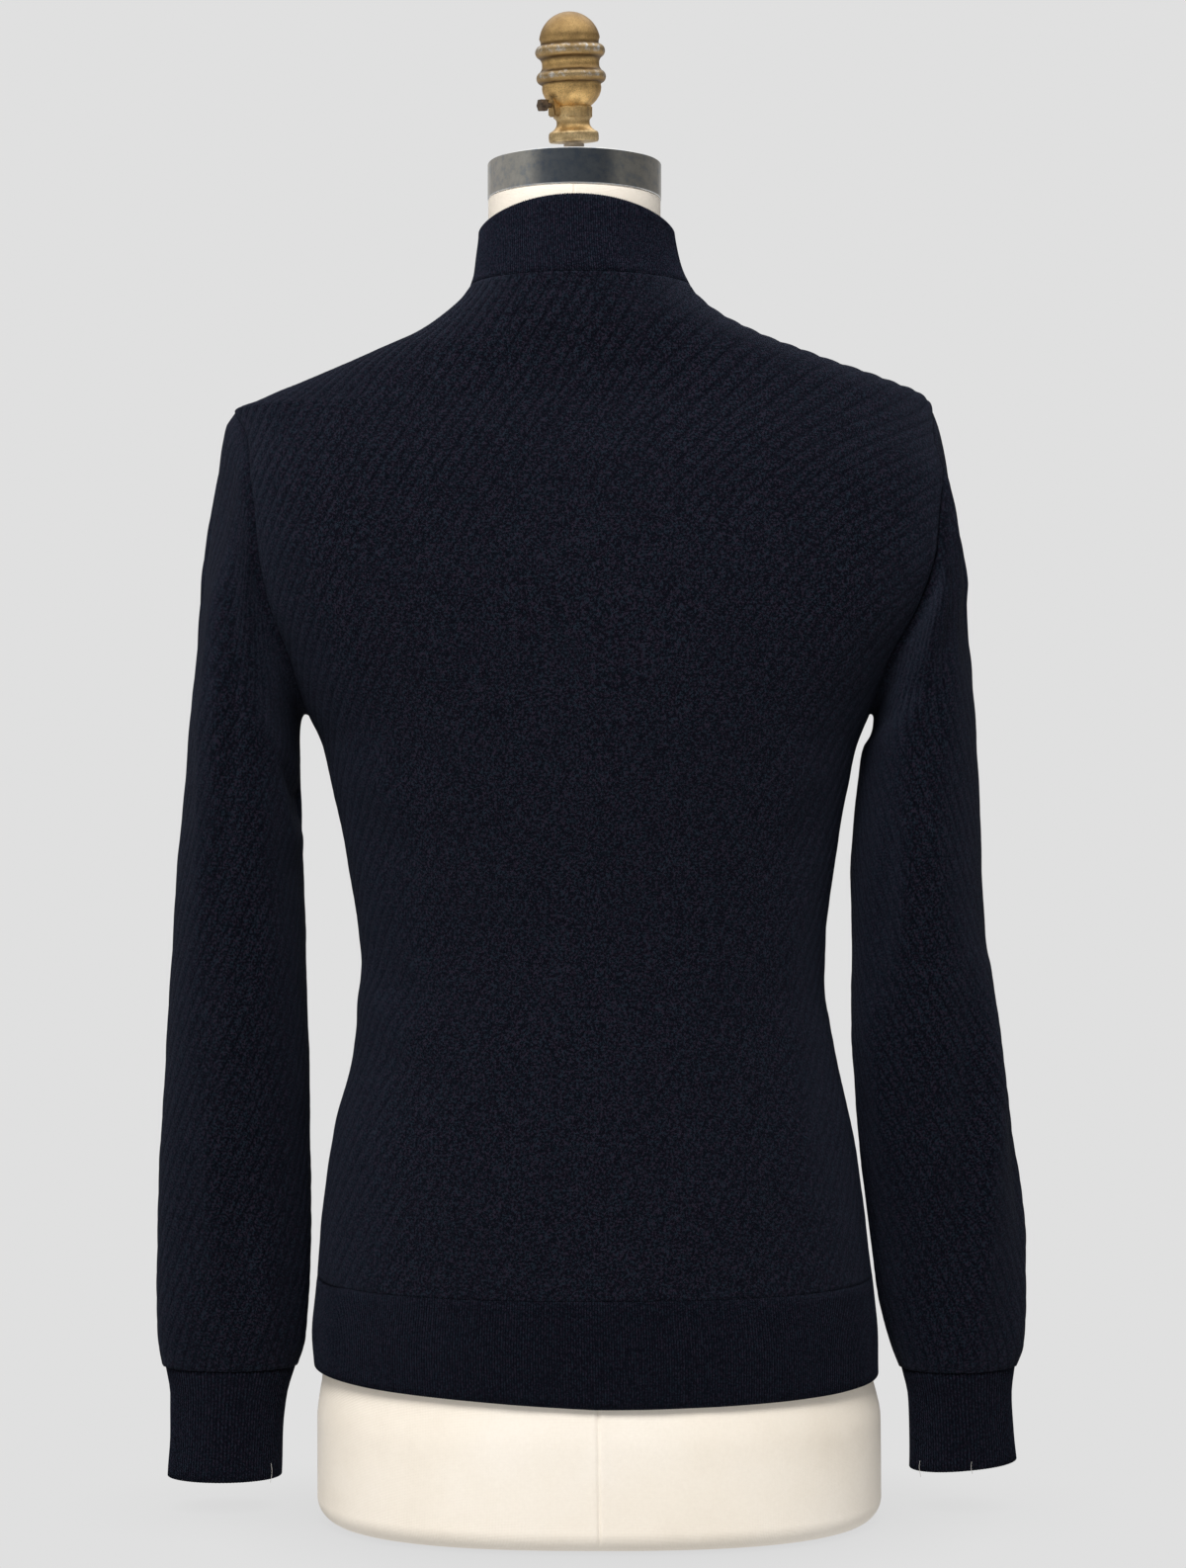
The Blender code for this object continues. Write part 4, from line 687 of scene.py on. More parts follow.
def flank(side, front):
    """The cut's outer edge from the hem to the neck: distance along and height, evenly spaced."""
    turn = 0.0 if side > 0 else math.pi
    share = np.linspace(math.pi, 0, 400) * (-1 if front else 1)
    point = armhole_point(side, share)
    at = np.arctan2(point[:, 1], point[:, 0] - MIDDLE(point[:, 2]))
    arm = np.stack([along_at(at, point[:, 2], front), point[:, 2]], axis=-1)
    tangent = np.gradient(arm, axis=0)
    tangent /= np.linalg.norm(tangent, axis=-1, keepdims=True)
    arm += np.stack([-tangent[:, 1], tangent[:, 0]], axis=-1) * side * SEAM_EDGE
    parts = []
    for begin, end in ((HEM_SEAM, ARMPIT), (SHOULDER_TIP, NECK_SEAM)):
        z = np.linspace(begin + SEAM_EDGE, end - SEAM_EDGE, 180)
        along = along_at(np.full(180, turn), z, front) - side * SEAM_EDGE
        parts.append(np.stack([along, z], axis=-1))
    line = np.concatenate([parts[0], arm, parts[1]])
    kept = [line[0]]
    for point in line[1:]:
        if point[1] > kept[-1][1] + 1e-6:
            kept.append(point)
    return np.array(kept)


def climb_table(front):
    """How far up the cloth each place of the cut is, measured on the body's own slope."""
    wide, high = 6 * MM, 3 * MM
    along = np.arange(-270, 271, 6) * MM
    z = np.arange(HEM_SEAM, NECK_SEAM + 2 * MM, high)
    a, h = np.meshgrid(along, z)
    points = body(turn_at(a.ravel(), h.ravel(), front), h.ravel()).reshape(*a.shape, 3)
    steps = np.linalg.norm(np.diff(points, axis=0), axis=-1)
    steps = np.minimum(steps, 9 * MM)
    table = np.concatenate([np.zeros((1, len(along))), np.cumsum(steps, axis=0)])

    def climb(at, height):
        i = np.clip((at - along[0]) / wide, 0, len(along) - 1.001)
        j = np.clip((height - z[0]) / high, 0, len(z) - 1.001)
        i0, j0 = i.astype(int), j.astype(int)
        s, t = i - i0, j - j0
        below = table[j0, i0] * (1 - s) + table[j0, i0 + 1] * s
        above = table[j0 + 1, i0] * (1 - s) + table[j0 + 1, i0 + 1] * s
        return below * (1 - t) + above * t

    return climb


def panel(name, front, side, look, creases, cell):
    """The back, or the front on one side of the zip, from the hem seam to the neck seam."""
    edge = flank(side if front else 1, front)
    length = run(body(turn_at(edge[:, 0], edge[:, 1], front), edge[:, 1]))
    rows = int(length[-1] / cell)
    height = np.interp(np.linspace(0, length[-1], rows), length, edge[:, 1])
    near = np.interp(height, edge[:, 1], edge[:, 0])
    if front:
        begin = np.full(rows, side * (ZIP_EDGE + EDGE))
        end = near
        if side < 0:
            begin, end = end, begin
    else:
        other = flank(-1, front)
        begin, end = np.interp(height, other[:, 1], other[:, 0]), near
    columns = int((end - begin).max() / cell)
    share = np.linspace(0, 1, columns)
    along = begin[:, None] + (end - begin)[:, None] * share[None, :]
    z = np.repeat(height[:, None], columns, axis=1)
    if front:
        top = height[-1]
        line = np.full(columns, top)
        for _ in range(12):
            turn = turn_at(along[-1], line, True)
            line = 0.5 * line + 0.5 * (neck_seam(turn) - SEAM_EDGE)
        reach = np.clip((height - 600 * MM) / (top - 600 * MM), 0, 1)
        z = z - (top - line)[None, :] * (reach ** 1.6)[:, None]
    turn = turn_at(along.ravel(), z.ravel(), front)
    base = body(turn, z.ravel())
    normal = body_normal(base)
    shape = (rows, columns, 3)
    base, normal = base.reshape(shape), normal.reshape(shape)
    v = climb_table(front)(along, z)
    lean = side * -1 if front else 1
    depth = RIB_DEPTH + RIB_DEEPER_ASIDE * np.clip(np.abs(along) / (150 * MM), 0, 1) ** 1.6
    depth += RIB_DEEPER_ABOVE * np.clip((z - 590 * MM) / (110 * MM), 0, 1)
    across = along
    if not front:
        spread = np.clip((z - 560 * MM) / (120 * MM), 0, 1)
        across = along + 0.3 * np.maximum(0, -along - 40 * MM) * spread
    rise = rib_height(across, v, lean, BODY_RIB, BODY_RIB_ANGLE, depth)
    row, column = np.indices((rows, columns))
    inward = np.minimum.reduce([row, rows - 1 - row, column, columns - 1 - column])
    quiet = np.clip(inward * cell / (5 * MM), 0.2, 1)
    rise = quiet * (rise + unevenness(base, UNEVEN_BODY)) + crease_rise(base, creases, not front)
    return grid_shell(name, base, normal, rise, np.stack([across, v], axis=-1), look, False)


# Bands of fine rib


def arc_turns(begin, end, z, count):
    """Turns between two others, evenly spaced along the body at a height."""
    turn = np.linspace(begin, end, 400)
    length = run(body(turn, np.full(400, z)))
    return np.interp(np.linspace(0, length[-1], count), length, turn), length[-1]


def zip_turn(side, z):
    return float(turn_at(np.array([side * (ZIP_EDGE + EDGE)]), np.array([z]), True)[0])


def fine_band(name, ends, low, high, pitch, look, lift, depth, seam, scallop=0.0):
    """A band of fine upright rib round part of the body, between two heights.

    seam is 0 or 1, where the band is sewn on: at its lower or its upper edge.
    """
    middle = float(low(0.0) + high(0.0)) / 2
    begin, end = ends(middle)
    _, reach = arc_turns(begin, end, middle, 2)
    count = int(round(reach / pitch)) * POINTS_A_RIB + 1
    ripple = -np.cos(2 * math.pi * np.arange(count) / POINTS_A_RIB)
    rows = []
    for share in np.linspace(0, 1, BAND_ROWS):
        guess = float(low(-math.pi / 2) + (high(-math.pi / 2) - low(-math.pi / 2)) * share)
        begin, end = ends(guess)
        turn, _ = arc_turns(begin, end, middle, count)
        z = low(turn) + (high(turn) - low(turn)) * share + scallop * ripple * share ** 6
        base = body(turn, z)
        rise = lift + depth * ripple + unevenness(base, UNEVEN_BAND)
        rise = rise * (0.35 if share == seam else 1)
        uv = np.stack([np.arange(count) * pitch / POINTS_A_RIB, z], axis=-1)
        rows.append((base, body_normal(base), rise, uv))
    base, normal, rise, uv = (np.array(column) for column in zip(*rows))
    return grid_shell(name, base, normal, rise, uv, look, False, step=BAND_INNER_STEP)


def hem_low(turn):
    """The hem's lower edge, which rides up towards the sides."""
    to_left, to_right = np.maximum(np.cos(turn), 0), np.maximum(-np.cos(turn), 0)
    return HEM_LOW + EDGE + HEM_RISE_LEFT * to_left ** 1.3 + HEM_RISE_RIGHT * to_right ** 2


def hem(look):
    """The fine rib band in three pieces."""
    gap = SEAM_EDGE / float(LEFT(HEM_LOW))

    def high(turn):
        return HEM_SEAM - SEAM_EDGE + 0 * np.asarray(turn, float)

    return [fine_band(name, ends, hem_low, high, FINE_RIB_HEM, look, 0.1 * MM, 0.24 * MM, 1)
            for name, ends in (
                ("hem_back_knit", lambda z: (gap, math.pi - gap)),
                ("hem_left_knit", lambda z: (zip_turn(1, z), -gap)),
                ("hem_right_knit", lambda z: (zip_turn(-1, z), gap - math.pi)))]


def collar(look):
    """The mock neck, open at the zip."""

    def low(turn):
        return neck_seam(turn) + SEAM_EDGE

    def high(turn):
        slant = np.sign(np.sin(turn)) * np.abs(np.sin(turn)) ** 1.5
        return COLLAR_TOP + COLLAR_TILT * slant - EDGE

    def ends(z):
        return zip_turn(1, z), zip_turn(-1, z) + 2 * math.pi

    return fine_band("collar_knit", ends, low, high, FINE_RIB_COLLAR, look, 0.3 * MM, 0.3 * MM, 0,
                     0.22 * MM)


def tube_rings(rings, side, count, cell, armhole):
    """Rings of a sleeve or cuff at even steps down it, with each point's turn."""
    table = [list(ring) for ring in rings]
    pull = [0.0] * len(table)
    if armhole:
        table.insert(0, list(armhole_ring(side)))
        pull = [1.0] + ARMHOLE_PULL + [0.0] * (len(table) - 1 - len(ARMHOLE_PULL))
    table = np.array(table, float)
    middle = (table[:, [0, 1]] + table[:, [2, 3]]) / 2
    far = run(middle) * MM
    curves = [smooth(far, column) for column in table.T]
    bulge_at = smooth(far, pull)
    begin = 0.0 if armhole else EDGE
    down = np.linspace(begin, far[-1] - EDGE, int((far[-1] - EDGE - begin) / cell))
    share = math.pi * (2 * np.arange(count) / count - 1)
    bulge = armhole_bulge(side, share) if armhole else 0
    points = []
    for d in down:
        ring = Ring(*[float(curve(d)) for curve in curves])
        points.append(ring_points(ring, side, share) + bulge * float(bulge_at(d)))
    return np.array(points), down, share


def tube_uv(points, down):
    """How far each point is round from the outermost line and down, with one more column."""
    total = runs(np.concatenate([points, points[:, :1]], axis=1))
    around = total - total[:, [points.shape[1] // 2]]
    return np.stack([around, np.repeat(-down[:, None], around.shape[1], axis=1)], axis=-1)


def sleeve(name, side, rings, folds, creases, front_creases, look):
    """A sleeve from the armhole seam to the cuff seam, in slanting rib."""
    points, down, share = tube_rings(rings, side, SLEEVE_COLUMNS, SLEEVE_CELL, True)
    normal = tube_normals(points)
    seam_normal = body_normal(points[0])
    tangent = np.roll(points[0], -1, axis=0) - np.roll(points[0], 1, axis=0)
    away = np.cross(seam_normal, tangent)
    away /= np.linalg.norm(away, axis=-1, keepdims=True)
    if ((points[0] - points[0].mean(axis=0)) * away).sum() > 0:
        away = -away
    settle = np.exp(-down / (9 * MM))[:, None, None]
    points = points + away[None] * settle * (SEAM * 0.7 + EDGE)
    blend = np.exp(-((down / (6 * MM)) ** 2))[:, None, None]
    normal = normal * (1 - blend) + seam_normal[None] * blend
    normal /= np.linalg.norm(normal, axis=-1, keepdims=True)
    uv = tube_uv(points, down)
    u, v = uv[:, :-1, 0], uv[:, :-1, 1]
    quiet = np.clip((math.pi - np.abs(share)) / 0.12, 0, 1)[None, :]
    quiet = quiet * np.clip(down / (6 * MM), 0.2, 1)[:, None]
    rise = rib_height(u, v, -1, SLEEVE_RIB, SLEEVE_RIB_ANGLE, SLEEVE_RIB_DEPTH) * quiet
    turn = np.repeat(share[None, :], len(down), axis=0)
    rise = rise + fold_rise(folds, turn, points[..., 2])
    rise = rise + crease_rise(points, creases, True) + crease_rise(points, front_creases, False)
    rise = rise + unevenness(points, UNEVEN_SLEEVE) * quiet
    return grid_shell(name, points, normal, rise, uv, look, True)


def cuff(name, side, rings, look):
    """A tube of fine rib below the sleeve."""
    probe, _, _ = tube_rings(rings, side, 64, 20 * MM, False)
    girth = np.linalg.norm(np.diff(probe[1], axis=0), axis=1).sum() * 64 / 63
    count = int(round(girth / FINE_RIB_CUFF)) * POINTS_A_RIB
    points, down, _ = tube_rings(rings, side, count, 5 * MM, False)
    normal = tube_normals(points)
    ripple = -np.cos(2 * math.pi * np.arange(count) / POINTS_A_RIB)
    rise = (0.1 * MM + 0.26 * MM * ripple)[None, :] + unevenness(points, UNEVEN_BODY)
    uv = tube_uv(points, down)
    uv[..., 0] = (np.arange(count + 1) - count // 2) * FINE_RIB_CUFF / POINTS_A_RIB
    return grid_shell(name, points, normal, rise, uv, look, True, step=BAND_INNER_STEP)


# Finishes


class Value:
    """What a node gives, open to arithmetic."""

    def __init__(self, nodes, socket):
        self.nodes, self.socket = nodes, socket

    def of(self, how, *others):
        node = self.nodes.add("ShaderNodeMath", operation=how)
        for source, target in zip((self, *others), node.inputs):
            self.nodes.put(source, target)
        return Value(self.nodes, node.outputs[0])

    def __add__(self, other):
        return self.of("ADD", other)

    def __sub__(self, other):
        return self.of("SUBTRACT", other)

    def __mul__(self, other):
        return self.of("MULTIPLY", other)

    def __truediv__(self, other):
        return self.of("DIVIDE", other)

    def __pow__(self, other):
        return self.of("POWER", other)

    def __abs__(self):
        return self.of("ABSOLUTE")

    def rest(self):
        """What is left of one."""
        return self * -1.0 + 1.0


class Nodes:
    """The node tree of a material or the world, with short ways to add to it."""

    def __init__(self, owner):
        owner.use_nodes = True
        self.owner, self.tree = owner, owner.node_tree

    def add(self, kind, **values):
        node = self.tree.nodes.new(kind)
        for key, value in values.items():
            setattr(node, key, value)
        return node

    def put(self, source, target):
        if isinstance(source, Value):
            self.tree.links.new(source.socket, target)
        else:
            target.default_value = source

    def feed(self, node, output=0, **sources):
        """Fills a node's named inputs and gives one output."""
        for name, source in sources.items():
            self.put(source, node.inputs[name.replace("_", " ")])
        return Value(self, node.outputs[output])

    def place(self, kind):
        return Value(self, self.add("ShaderNodeTexCoord").outputs[kind])

    def parts(self, kind):
        node = self.add("ShaderNodeSeparateXYZ")
        self.put(self.place(kind), node.inputs[0])
        return [Value(self, output) for output in node.outputs]

    def noise(self, scale, detail, rough):
        return self.feed(self.add("ShaderNodeTexNoise"), Vector=self.place("Object"), Scale=scale,
                         Detail=detail, Roughness=rough)

    def ramp(self, source, stops):
        node = self.add("ShaderNodeValToRGB")
        elements = node.color_ramp.elements
        while len(elements) < len(stops):
            elements.new(0.5)
        for element, (place, colour) in zip(elements, stops):
            element.position = place
            element.color = (*colour, 1)
        return self.feed(node, Fac=source)

    def fade(self, source, low, high):
        return self.ramp(source, [(low, BLACK), (high, WHITE)])

    def mix(self, share, one, other):
        one, other = ((*c, 1) if isinstance(c, tuple) else c for c in (one, other))
        return self.feed(self.add("ShaderNodeMix", data_type="RGBA"), "Result", Factor=share, A=one,
                         B=other)

    def bump(self, height, distance, strength, **beneath):
        return self.feed(self.add("ShaderNodeBump"), Height=height, Distance=distance,
                         Strength=strength, **beneath)

    def shade(self, **values):
        """Fills the material's one shader and gives the material."""
        self.feed(self.tree.nodes["Principled BSDF"], **values)
        return self.owner


BLACK, WHITE = (0, 0, 0), (1, 1, 1)


def material(name):
    return Nodes(bpy.data.materials.new(name))


def wave(place, pitch, phase=0.0):
    """A height from 0 to 1 that repeats at a pitch."""
    return (place * (2 * math.pi / pitch) + phase).of("SINE") * 0.5 + 0.5


def knit(name, stitch_wide, lean=0, angle=BODY_RIB_ANGLE, pitch=BODY_RIB, light=1.0, stripe=0.0):
    """Navy knit: small V stitches along the cut, with a slanting rib or fine upright stripes.
    Painted shade darkens the rib furrows and the gaps between stitches, and light makes each
    piece's copy of the yarn lighter or darker as painted light and shade.
    """
    nodes = material(name)
    u, v, _ = nodes.parts("UV")
    off = abs((u / stitch_wide).of("FRACT") - 0.5)
    stitch = wave(off * (-1.6 * STITCH_HIGH) + v, STITCH_HIGH)
    height = stitch - (off * 2.0) ** 3.0 * 0.9 + nodes.noise(1900, 3, 0.7) * 0.9
    if stripe:
        # The fine rib's furrows, shown only as painted shade in the colour.
        furrow = wave(u, stripe, math.pi / 2) ** 1.2
    else:
        line = v * (lean * math.cos(angle) / pitch) + u * (math.sin(angle) / pitch)
        furrow = abs((line * math.pi).of("SINE")).rest() ** 3.0
        height = height - furrow * 0.6
        # On the body the furrows' painted shade grows towards the top and towards the sides.
        if pitch == BODY_RIB:
            above = ((v - 0.45) * 8.0).of("MAXIMUM", 0.0)
            furrow = furrow * (above + abs(u) * 4.5 + 0.2).of("MINIMUM", 1.0)

    # light scales the whole yarn colour of this piece: lighter and darker copies of one yarn,
    # painted light and shade.
    def tone(red, green, blue):
        return (red * light, green * light, blue * light)

    hue = nodes.noise(520, 2, 0.6)
    dark = nodes.ramp(hue, [(0.44, tone(0.0030, 0.0024, 0.0052)),
                            (0.56, tone(0.0018, 0.0031, 0.0056))])
    pale = nodes.ramp(hue, [(0.44, tone(0.0212, 0.0172, 0.0295)),
                            (0.56, tone(0.0130, 0.0198, 0.0305))])
    spread = 0.03 if stripe else 0.0
    fleck = nodes.fade(nodes.noise(760, 2, 0.7), 0.47 - spread, 0.58 + spread)
    colour = nodes.mix(fleck, dark, pale)
    colour = nodes.mix(nodes.noise(9, 4, 0.6) * 0.3, colour, tone(0.0076, 0.0080, 0.0132))
    # Painted shade in the gaps between the stitches.
    colour = nodes.mix(stitch.rest() * 0.28, colour, tone(0.0014, 0.0016, 0.0038))
    # Painted shade in the rib furrows.
    deep = furrow * (0.85 if stripe else 0.7)
    colour = nodes.mix(deep, colour, tone(0.0012, 0.0015, 0.0034))
    return nodes.shade(Base_Color=colour, Roughness=0.95, Sheen_Weight=0.05, Sheen_Roughness=0.4,
                       Sheen_Tint=(0.45, 0.55, 0.85, 1), Specular_IOR_Level=0.05,
                       Normal=nodes.bump(height, 0.00034, 0.8))


def linen(name):
    """The form's cream cover: a fine plain weave, a little soiled in patches."""
    nodes = material(name)
    u, v, _ = nodes.parts("UV")
    slub = nodes.noise(420, 4, 0.7)
    height = slub * 0.8 + wave(u, 0.0009) * wave(v, 0.0009)
    base = nodes.ramp(nodes.noise(7, 4, 0.62), [
        (0.30, (0.78, 0.705, 0.60)), (0.52, (0.875, 0.805, 0.705)), (0.75, (0.91, 0.85, 0.765))])
    return nodes.shade(Base_Color=nodes.mix(slub * 0.28, base, (0.60, 0.53, 0.43)), Roughness=0.88,
                       Sheen_Weight=0.08, Specular_IOR_Level=0.25,
                       Normal=nodes.bump(height, 0.00018, 0.6))


def metal(name, bright, dull, roughness, scratch, scale=60, metallic=1.0):
    """Worn metal: streaks and patches of dull colour and a roughness that varies."""
    nodes = material(name)
    patch, grain = nodes.noise(scale, 5, 0.65), nodes.noise(scale * 14, 3, 0.6)
    return nodes.shade(Base_Color=nodes.mix(nodes.fade(patch, 0.38, 0.66), bright, dull),
                       Metallic=metallic,
                       Roughness=grain * (scratch * 0.5) + patch * scratch + roughness,
                       Normal=nodes.bump(grain, 0.00004, 0.35))


def worn_chrome(name):
    """Old chrome with cloudy blue-grey patches and shallow dents that break up what it mirrors."""
    nodes = material(name)
    cloud, grain = nodes.noise(170, 4, 0.65), nodes.noise(900, 3, 0.6)
    colour = nodes.ramp(cloud, [(0.36, (0.66, 0.71, 0.78)), (0.50, (0.84, 0.84, 0.83)),
                                (0.66, (0.92, 0.92, 0.91))])
    dents = nodes.bump(cloud, 0.00003, 0.5)
    return nodes.shade(Base_Color=colour, Metallic=1.0, Roughness=cloud * 0.10 + 0.03,
                       Normal=nodes.bump(grain, 0.00004, 0.3, Normal=dents))


def aged_brass(name):
    """Cast brass worn grey on its two rings, with painted light and shade by height: paler on the
    base disc and the bowl, darker towards the dome's top and dark in its grooves; v is the height
    up it.
    """
    nodes = material(name)
    v = nodes.parts("UV")[1]
    patch, grain = nodes.noise(130, 5, 0.65), nodes.noise(1500, 3, 0.6)
    up = (patch * 0.0016 + v - 0.0008) / 0.082
    # Colours by height paint light and shade onto one brass: pale and bowl are painted highlights,
    # groove is painted shade at the rings' edges, and the dome darkens upwards as painted shade.
    pale, mid, bowl = (0.98, 0.74, 0.40), (0.64, 0.41, 0.165), (0.92, 0.60, 0.24)
    groove, rim = (0.07, 0.040, 0.016), (0.60, 0.44, 0.24)
    base = nodes.ramp(up, [
        (0.000, pale), (0.075, pale), (0.105, bowl), (0.190, (0.78, 0.57, 0.29)), (0.290, bowl),
        (0.430, bowl), (0.448, groove), (0.472, mid), (0.492, rim), (0.515, rim), (0.540, groove),
        (0.566, mid), (0.600, bowl), (0.632, groove), (0.655, mid), (0.685, rim),
        (0.715, rim), (0.738, groove), (0.760, mid), (0.86, (0.52, 0.34, 0.145)),
        (1.000, (0.40, 0.26, 0.115)),
    ])
    rings = nodes.ramp(up, list(zip((0.472, 0.492, 0.515, 0.540, 0.655, 0.685, 0.715, 0.738),
                                    (BLACK, WHITE, WHITE, BLACK) * 2)))
    worn = nodes.fade(nodes.noise(210, 4, 0.7), 0.50, 0.60)
    colour = nodes.mix(worn * rings, base, (0.80, 0.78, 0.74))
    colour = nodes.mix(nodes.fade(patch, 0.40, 0.64) * 0.6, colour, (0.27, 0.165, 0.065))
    colour = nodes.mix(nodes.fade(grain, 0.50, 0.66) * 0.5, colour, (0.17, 0.105, 0.045))
    return nodes.shade(Base_Color=colour, Metallic=0.9, Roughness=patch * 0.25 + 0.30,
                       Normal=nodes.bump(grain + patch, 0.00016, 0.6))


def tape_weave(name):
    """The zip tape's close twill."""
    nodes = material(name)
    u, v, _ = nodes.parts("UV")
    fuzz = nodes.noise(1500, 3, 0.6)
    colour = nodes.mix(fuzz, (0.0048, 0.0055, 0.0095), (0.012, 0.013, 0.019))
    return nodes.shade(Base_Color=colour, Roughness=0.85, Sheen_Weight=0.05,
                       Specular_IOR_Level=0.3,
                       Normal=nodes.bump(fuzz * 0.5 + wave(u + v * 0.6, 0.0007), 0.0002, 0.7))


def thread_look(name):
    nodes = material(name)
    twist = nodes.noise(2600, 2, 0.5)
    return nodes.shade(Base_Color=nodes.mix(twist, (0.30, 0.29, 0.28), (0.62, 0.60, 0.57)),
                       Roughness=0.8)


def wear(node_name, look):
    """A finish on a solid that is shown as it came from the part."""
    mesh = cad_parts[node_name].data
    mesh.materials.clear()
    mesh.materials.append(look)
    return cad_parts[node_name]


def ease(target, width, segments=2):
    """Rounds an object's sharp edges."""
    bevel = target.modifiers.new("ease", "BEVEL")
    bevel.width = width
    bevel.segments = segments
    bevel.limit_method = "ANGLE"
    bevel.angle_limit = math.radians(35)
    return target


# Zip


def front_normal(z):
    """A point of the front's middle and the direction out of it."""
    point = body(np.array([-math.pi / 2]), np.array([z]))[0]
    return point, body_normal(point[None])[0]


def tape(name, side, look):
    """One woven tape beside the teeth."""
    top = COLLAR_TOP - COLLAR_TILT - 0.6 * MM
    z = np.arange(HEM_LOW + MM, top, 3 * MM)
    along = np.linspace(side * (TAPE_INNER - 0.4 * MM), side * TAPE_OUTER, 7)
    a, h = np.meshgrid(along, z)
    base = body(turn_at(a.ravel(), h.ravel(), True), h.ravel()).reshape(*a.shape, 3)
    rise = 0.35 * MM * np.exp(-(((np.abs(a) - TAPE_INNER) / (0.9 * MM)) ** 2)) - 0.35 * MM
    return grid_shell(name, base, body_normal(base), rise, np.stack([a, h], axis=-1), look, False,
                      wall=0.9 * MM, step=2)


def teeth(look):
    """Two rows of closed teeth, meshed at the middle."""
    work = bmesh.new()
    count = int((SLIDER_Z * MM - HEM_LOW - 10 * MM) / (TOOTH_PITCH / 2))
    for k in range(count):
        z = HEM_LOW + 10.5 * MM + k * TOOTH_PITCH / 2
        side = 1 if k % 2 else -1
        point, normal = front_normal(z)
        out = Vector(normal)
        up = Vector((0, -out.z, out.y)) * -1
        if up.z < 0:
            up = -up
        sideways = up.cross(out).normalized() * side
        if sideways.x * side < 0:
            sideways = -sideways
        turn = Matrix((sideways, up, out)).transposed().to_4x4()
        centre = Vector(point) + Vector((side * 1.05 * MM, 0, 0)) + out * 0.05 * MM
        size = Matrix.Diagonal((2.5 * MM, 0.98 * MM, 1.9 * MM, 1))
        made = bmesh.ops.create_cube(work, size=1, matrix=Matrix.Translation(centre) @ turn @ size)
        edges = {edge for vert in made["verts"] for edge in vert.link_edges}
        bmesh.ops.bevel(work, geom=list(edges), offset=0.22 * MM, segments=1, affect="EDGES")
    mesh = bpy.data.meshes.new("zip_teeth")
    work.to_mesh(mesh)
    work.free()
    return shown("zip_teeth", mesh, look)


# Dress form


def torso(look):
    """The form's body and neck, with a sewn seam down the middle of the back and the front."""
    plain = np.linspace(0, 2 * math.pi, 168, endpoint=False)
    fine = np.radians([-2.4, -1.5, -0.9, -0.5, -0.2, 0, 0.2, 0.5, 0.9, 1.5, 2.4])
    seams = np.array([math.pi / 2, 3 * math.pi / 2])
    near = np.abs(plain[:, None] - seams[None, :]).min(axis=1) < math.radians(3)
    turn = np.sort(np.concatenate([plain[~near], seams[0] + fine, seams[1] + fine]))
    count = len(turn)
    off = np.abs(turn[:, None] - seams[None, :]).min(axis=1)
    rows = []
    for share in (0, 0.03, 0.1, 0.2, 0.32, 0.46, 0.6, 0.75, 0.88, 1):
        inset = FORM_FILLET * (1 - math.sqrt(1 - (1 - share) ** 2))
        z = FORM_FILLET * share
        base = body(turn, np.full(count, z))
        row = base - body_normal(base) * inset
        row[:, 2] = z
        rows.append(row)
    for z in list(range(14, 90, 5)) + list(range(90, 680, 14)) + list(range(680, 758, 5)):
        z = z * MM
        base = body(turn, np.full(count, z))
        normal = body_normal(base)
        side = np.abs(normal[:, 0]) ** 2
        loose = FLANK_INSET * np.clip((z - HEM_LOW) / (60 * MM), 0, 1)
        loose *= np.clip((SHOULDER_TIP - 20 * MM - z) / (60 * MM), 0, 1)
        inset = INSET(z) + (ARM_INSET(z) + loose) * side
        if z > HEM_LOW - 4 * MM:
            inset = inset + 0.4 * MM
        rows.append(base - normal * inset[:, None])
    for z in (762, 768, 774, 780, 786, 792, 798, 803, 807, 811, 815, 818, 820):
        x = float(MIDDLE(min(z, 800) * MM)) + NECK_SIDE
        ring = np.stack([x + NECK_RADIUS * np.cos(turn), NECK_RADIUS * np.sin(turn),
                         np.full(count, z * MM)], axis=-1)
        rows.append(ring)
    grid = np.array(rows)
    normal = tube_normals(grid)
    groove = 0.75 * MM * np.exp(-((off / math.radians(0.45)) ** 2))
    lips = 0.35 * MM * np.exp(-(((off - math.radians(1.3)) / math.radians(0.7)) ** 2))
    height = grid[..., 2]
    sewn = np.clip((height - 2 * MM) / (6 * MM), 0, 1)
    grid = grid - normal * ((groove - lips)[None, :] * sewn)[..., None]
    grid[0], grid[-1] = rows[0], rows[-1]
    climb = np.cumsum(np.linalg.norm(np.diff(grid, axis=0), axis=-1).mean(axis=1))
    climb = np.concatenate([[0], climb])
    around = np.append(turn, turn[0] + 2 * math.pi) * COVER_RADIUS
    columns = np.arange(count)
    faces, spots = [], []
    for a in range(len(grid) - 1):
        for b in columns:
            here, beside = a * count + b, a * count + (b + 1) % count
            faces.append((here, beside, beside + count, here + count))
            spots += [(around[b], climb[a]), (around[b + 1], climb[a]),
                      (around[b + 1], climb[a + 1]), (around[b], climb[a + 1])]
    faces.append(tuple(columns[::-1]))
    faces.append(tuple(columns + (len(grid) - 1) * count))
    spots += [*grid[0, ::-1, :2], *grid[-1, :, :2]]
    mesh = bpy.data.meshes.new("form_cover")
    mesh.from_pydata(grid.reshape(-1, 3).tolist(), [], faces)
    mesh.uv_layers.new(name="cut").data.foreach_set("uv", np.array(spots, np.float32).ravel())
    mesh.polygons.foreach_set("use_smooth", np.ones(len(mesh.polygons), bool))
    mesh.set_sharp_from_angle(angle=math.radians(50))
    return shown("form_cover", mesh, look)


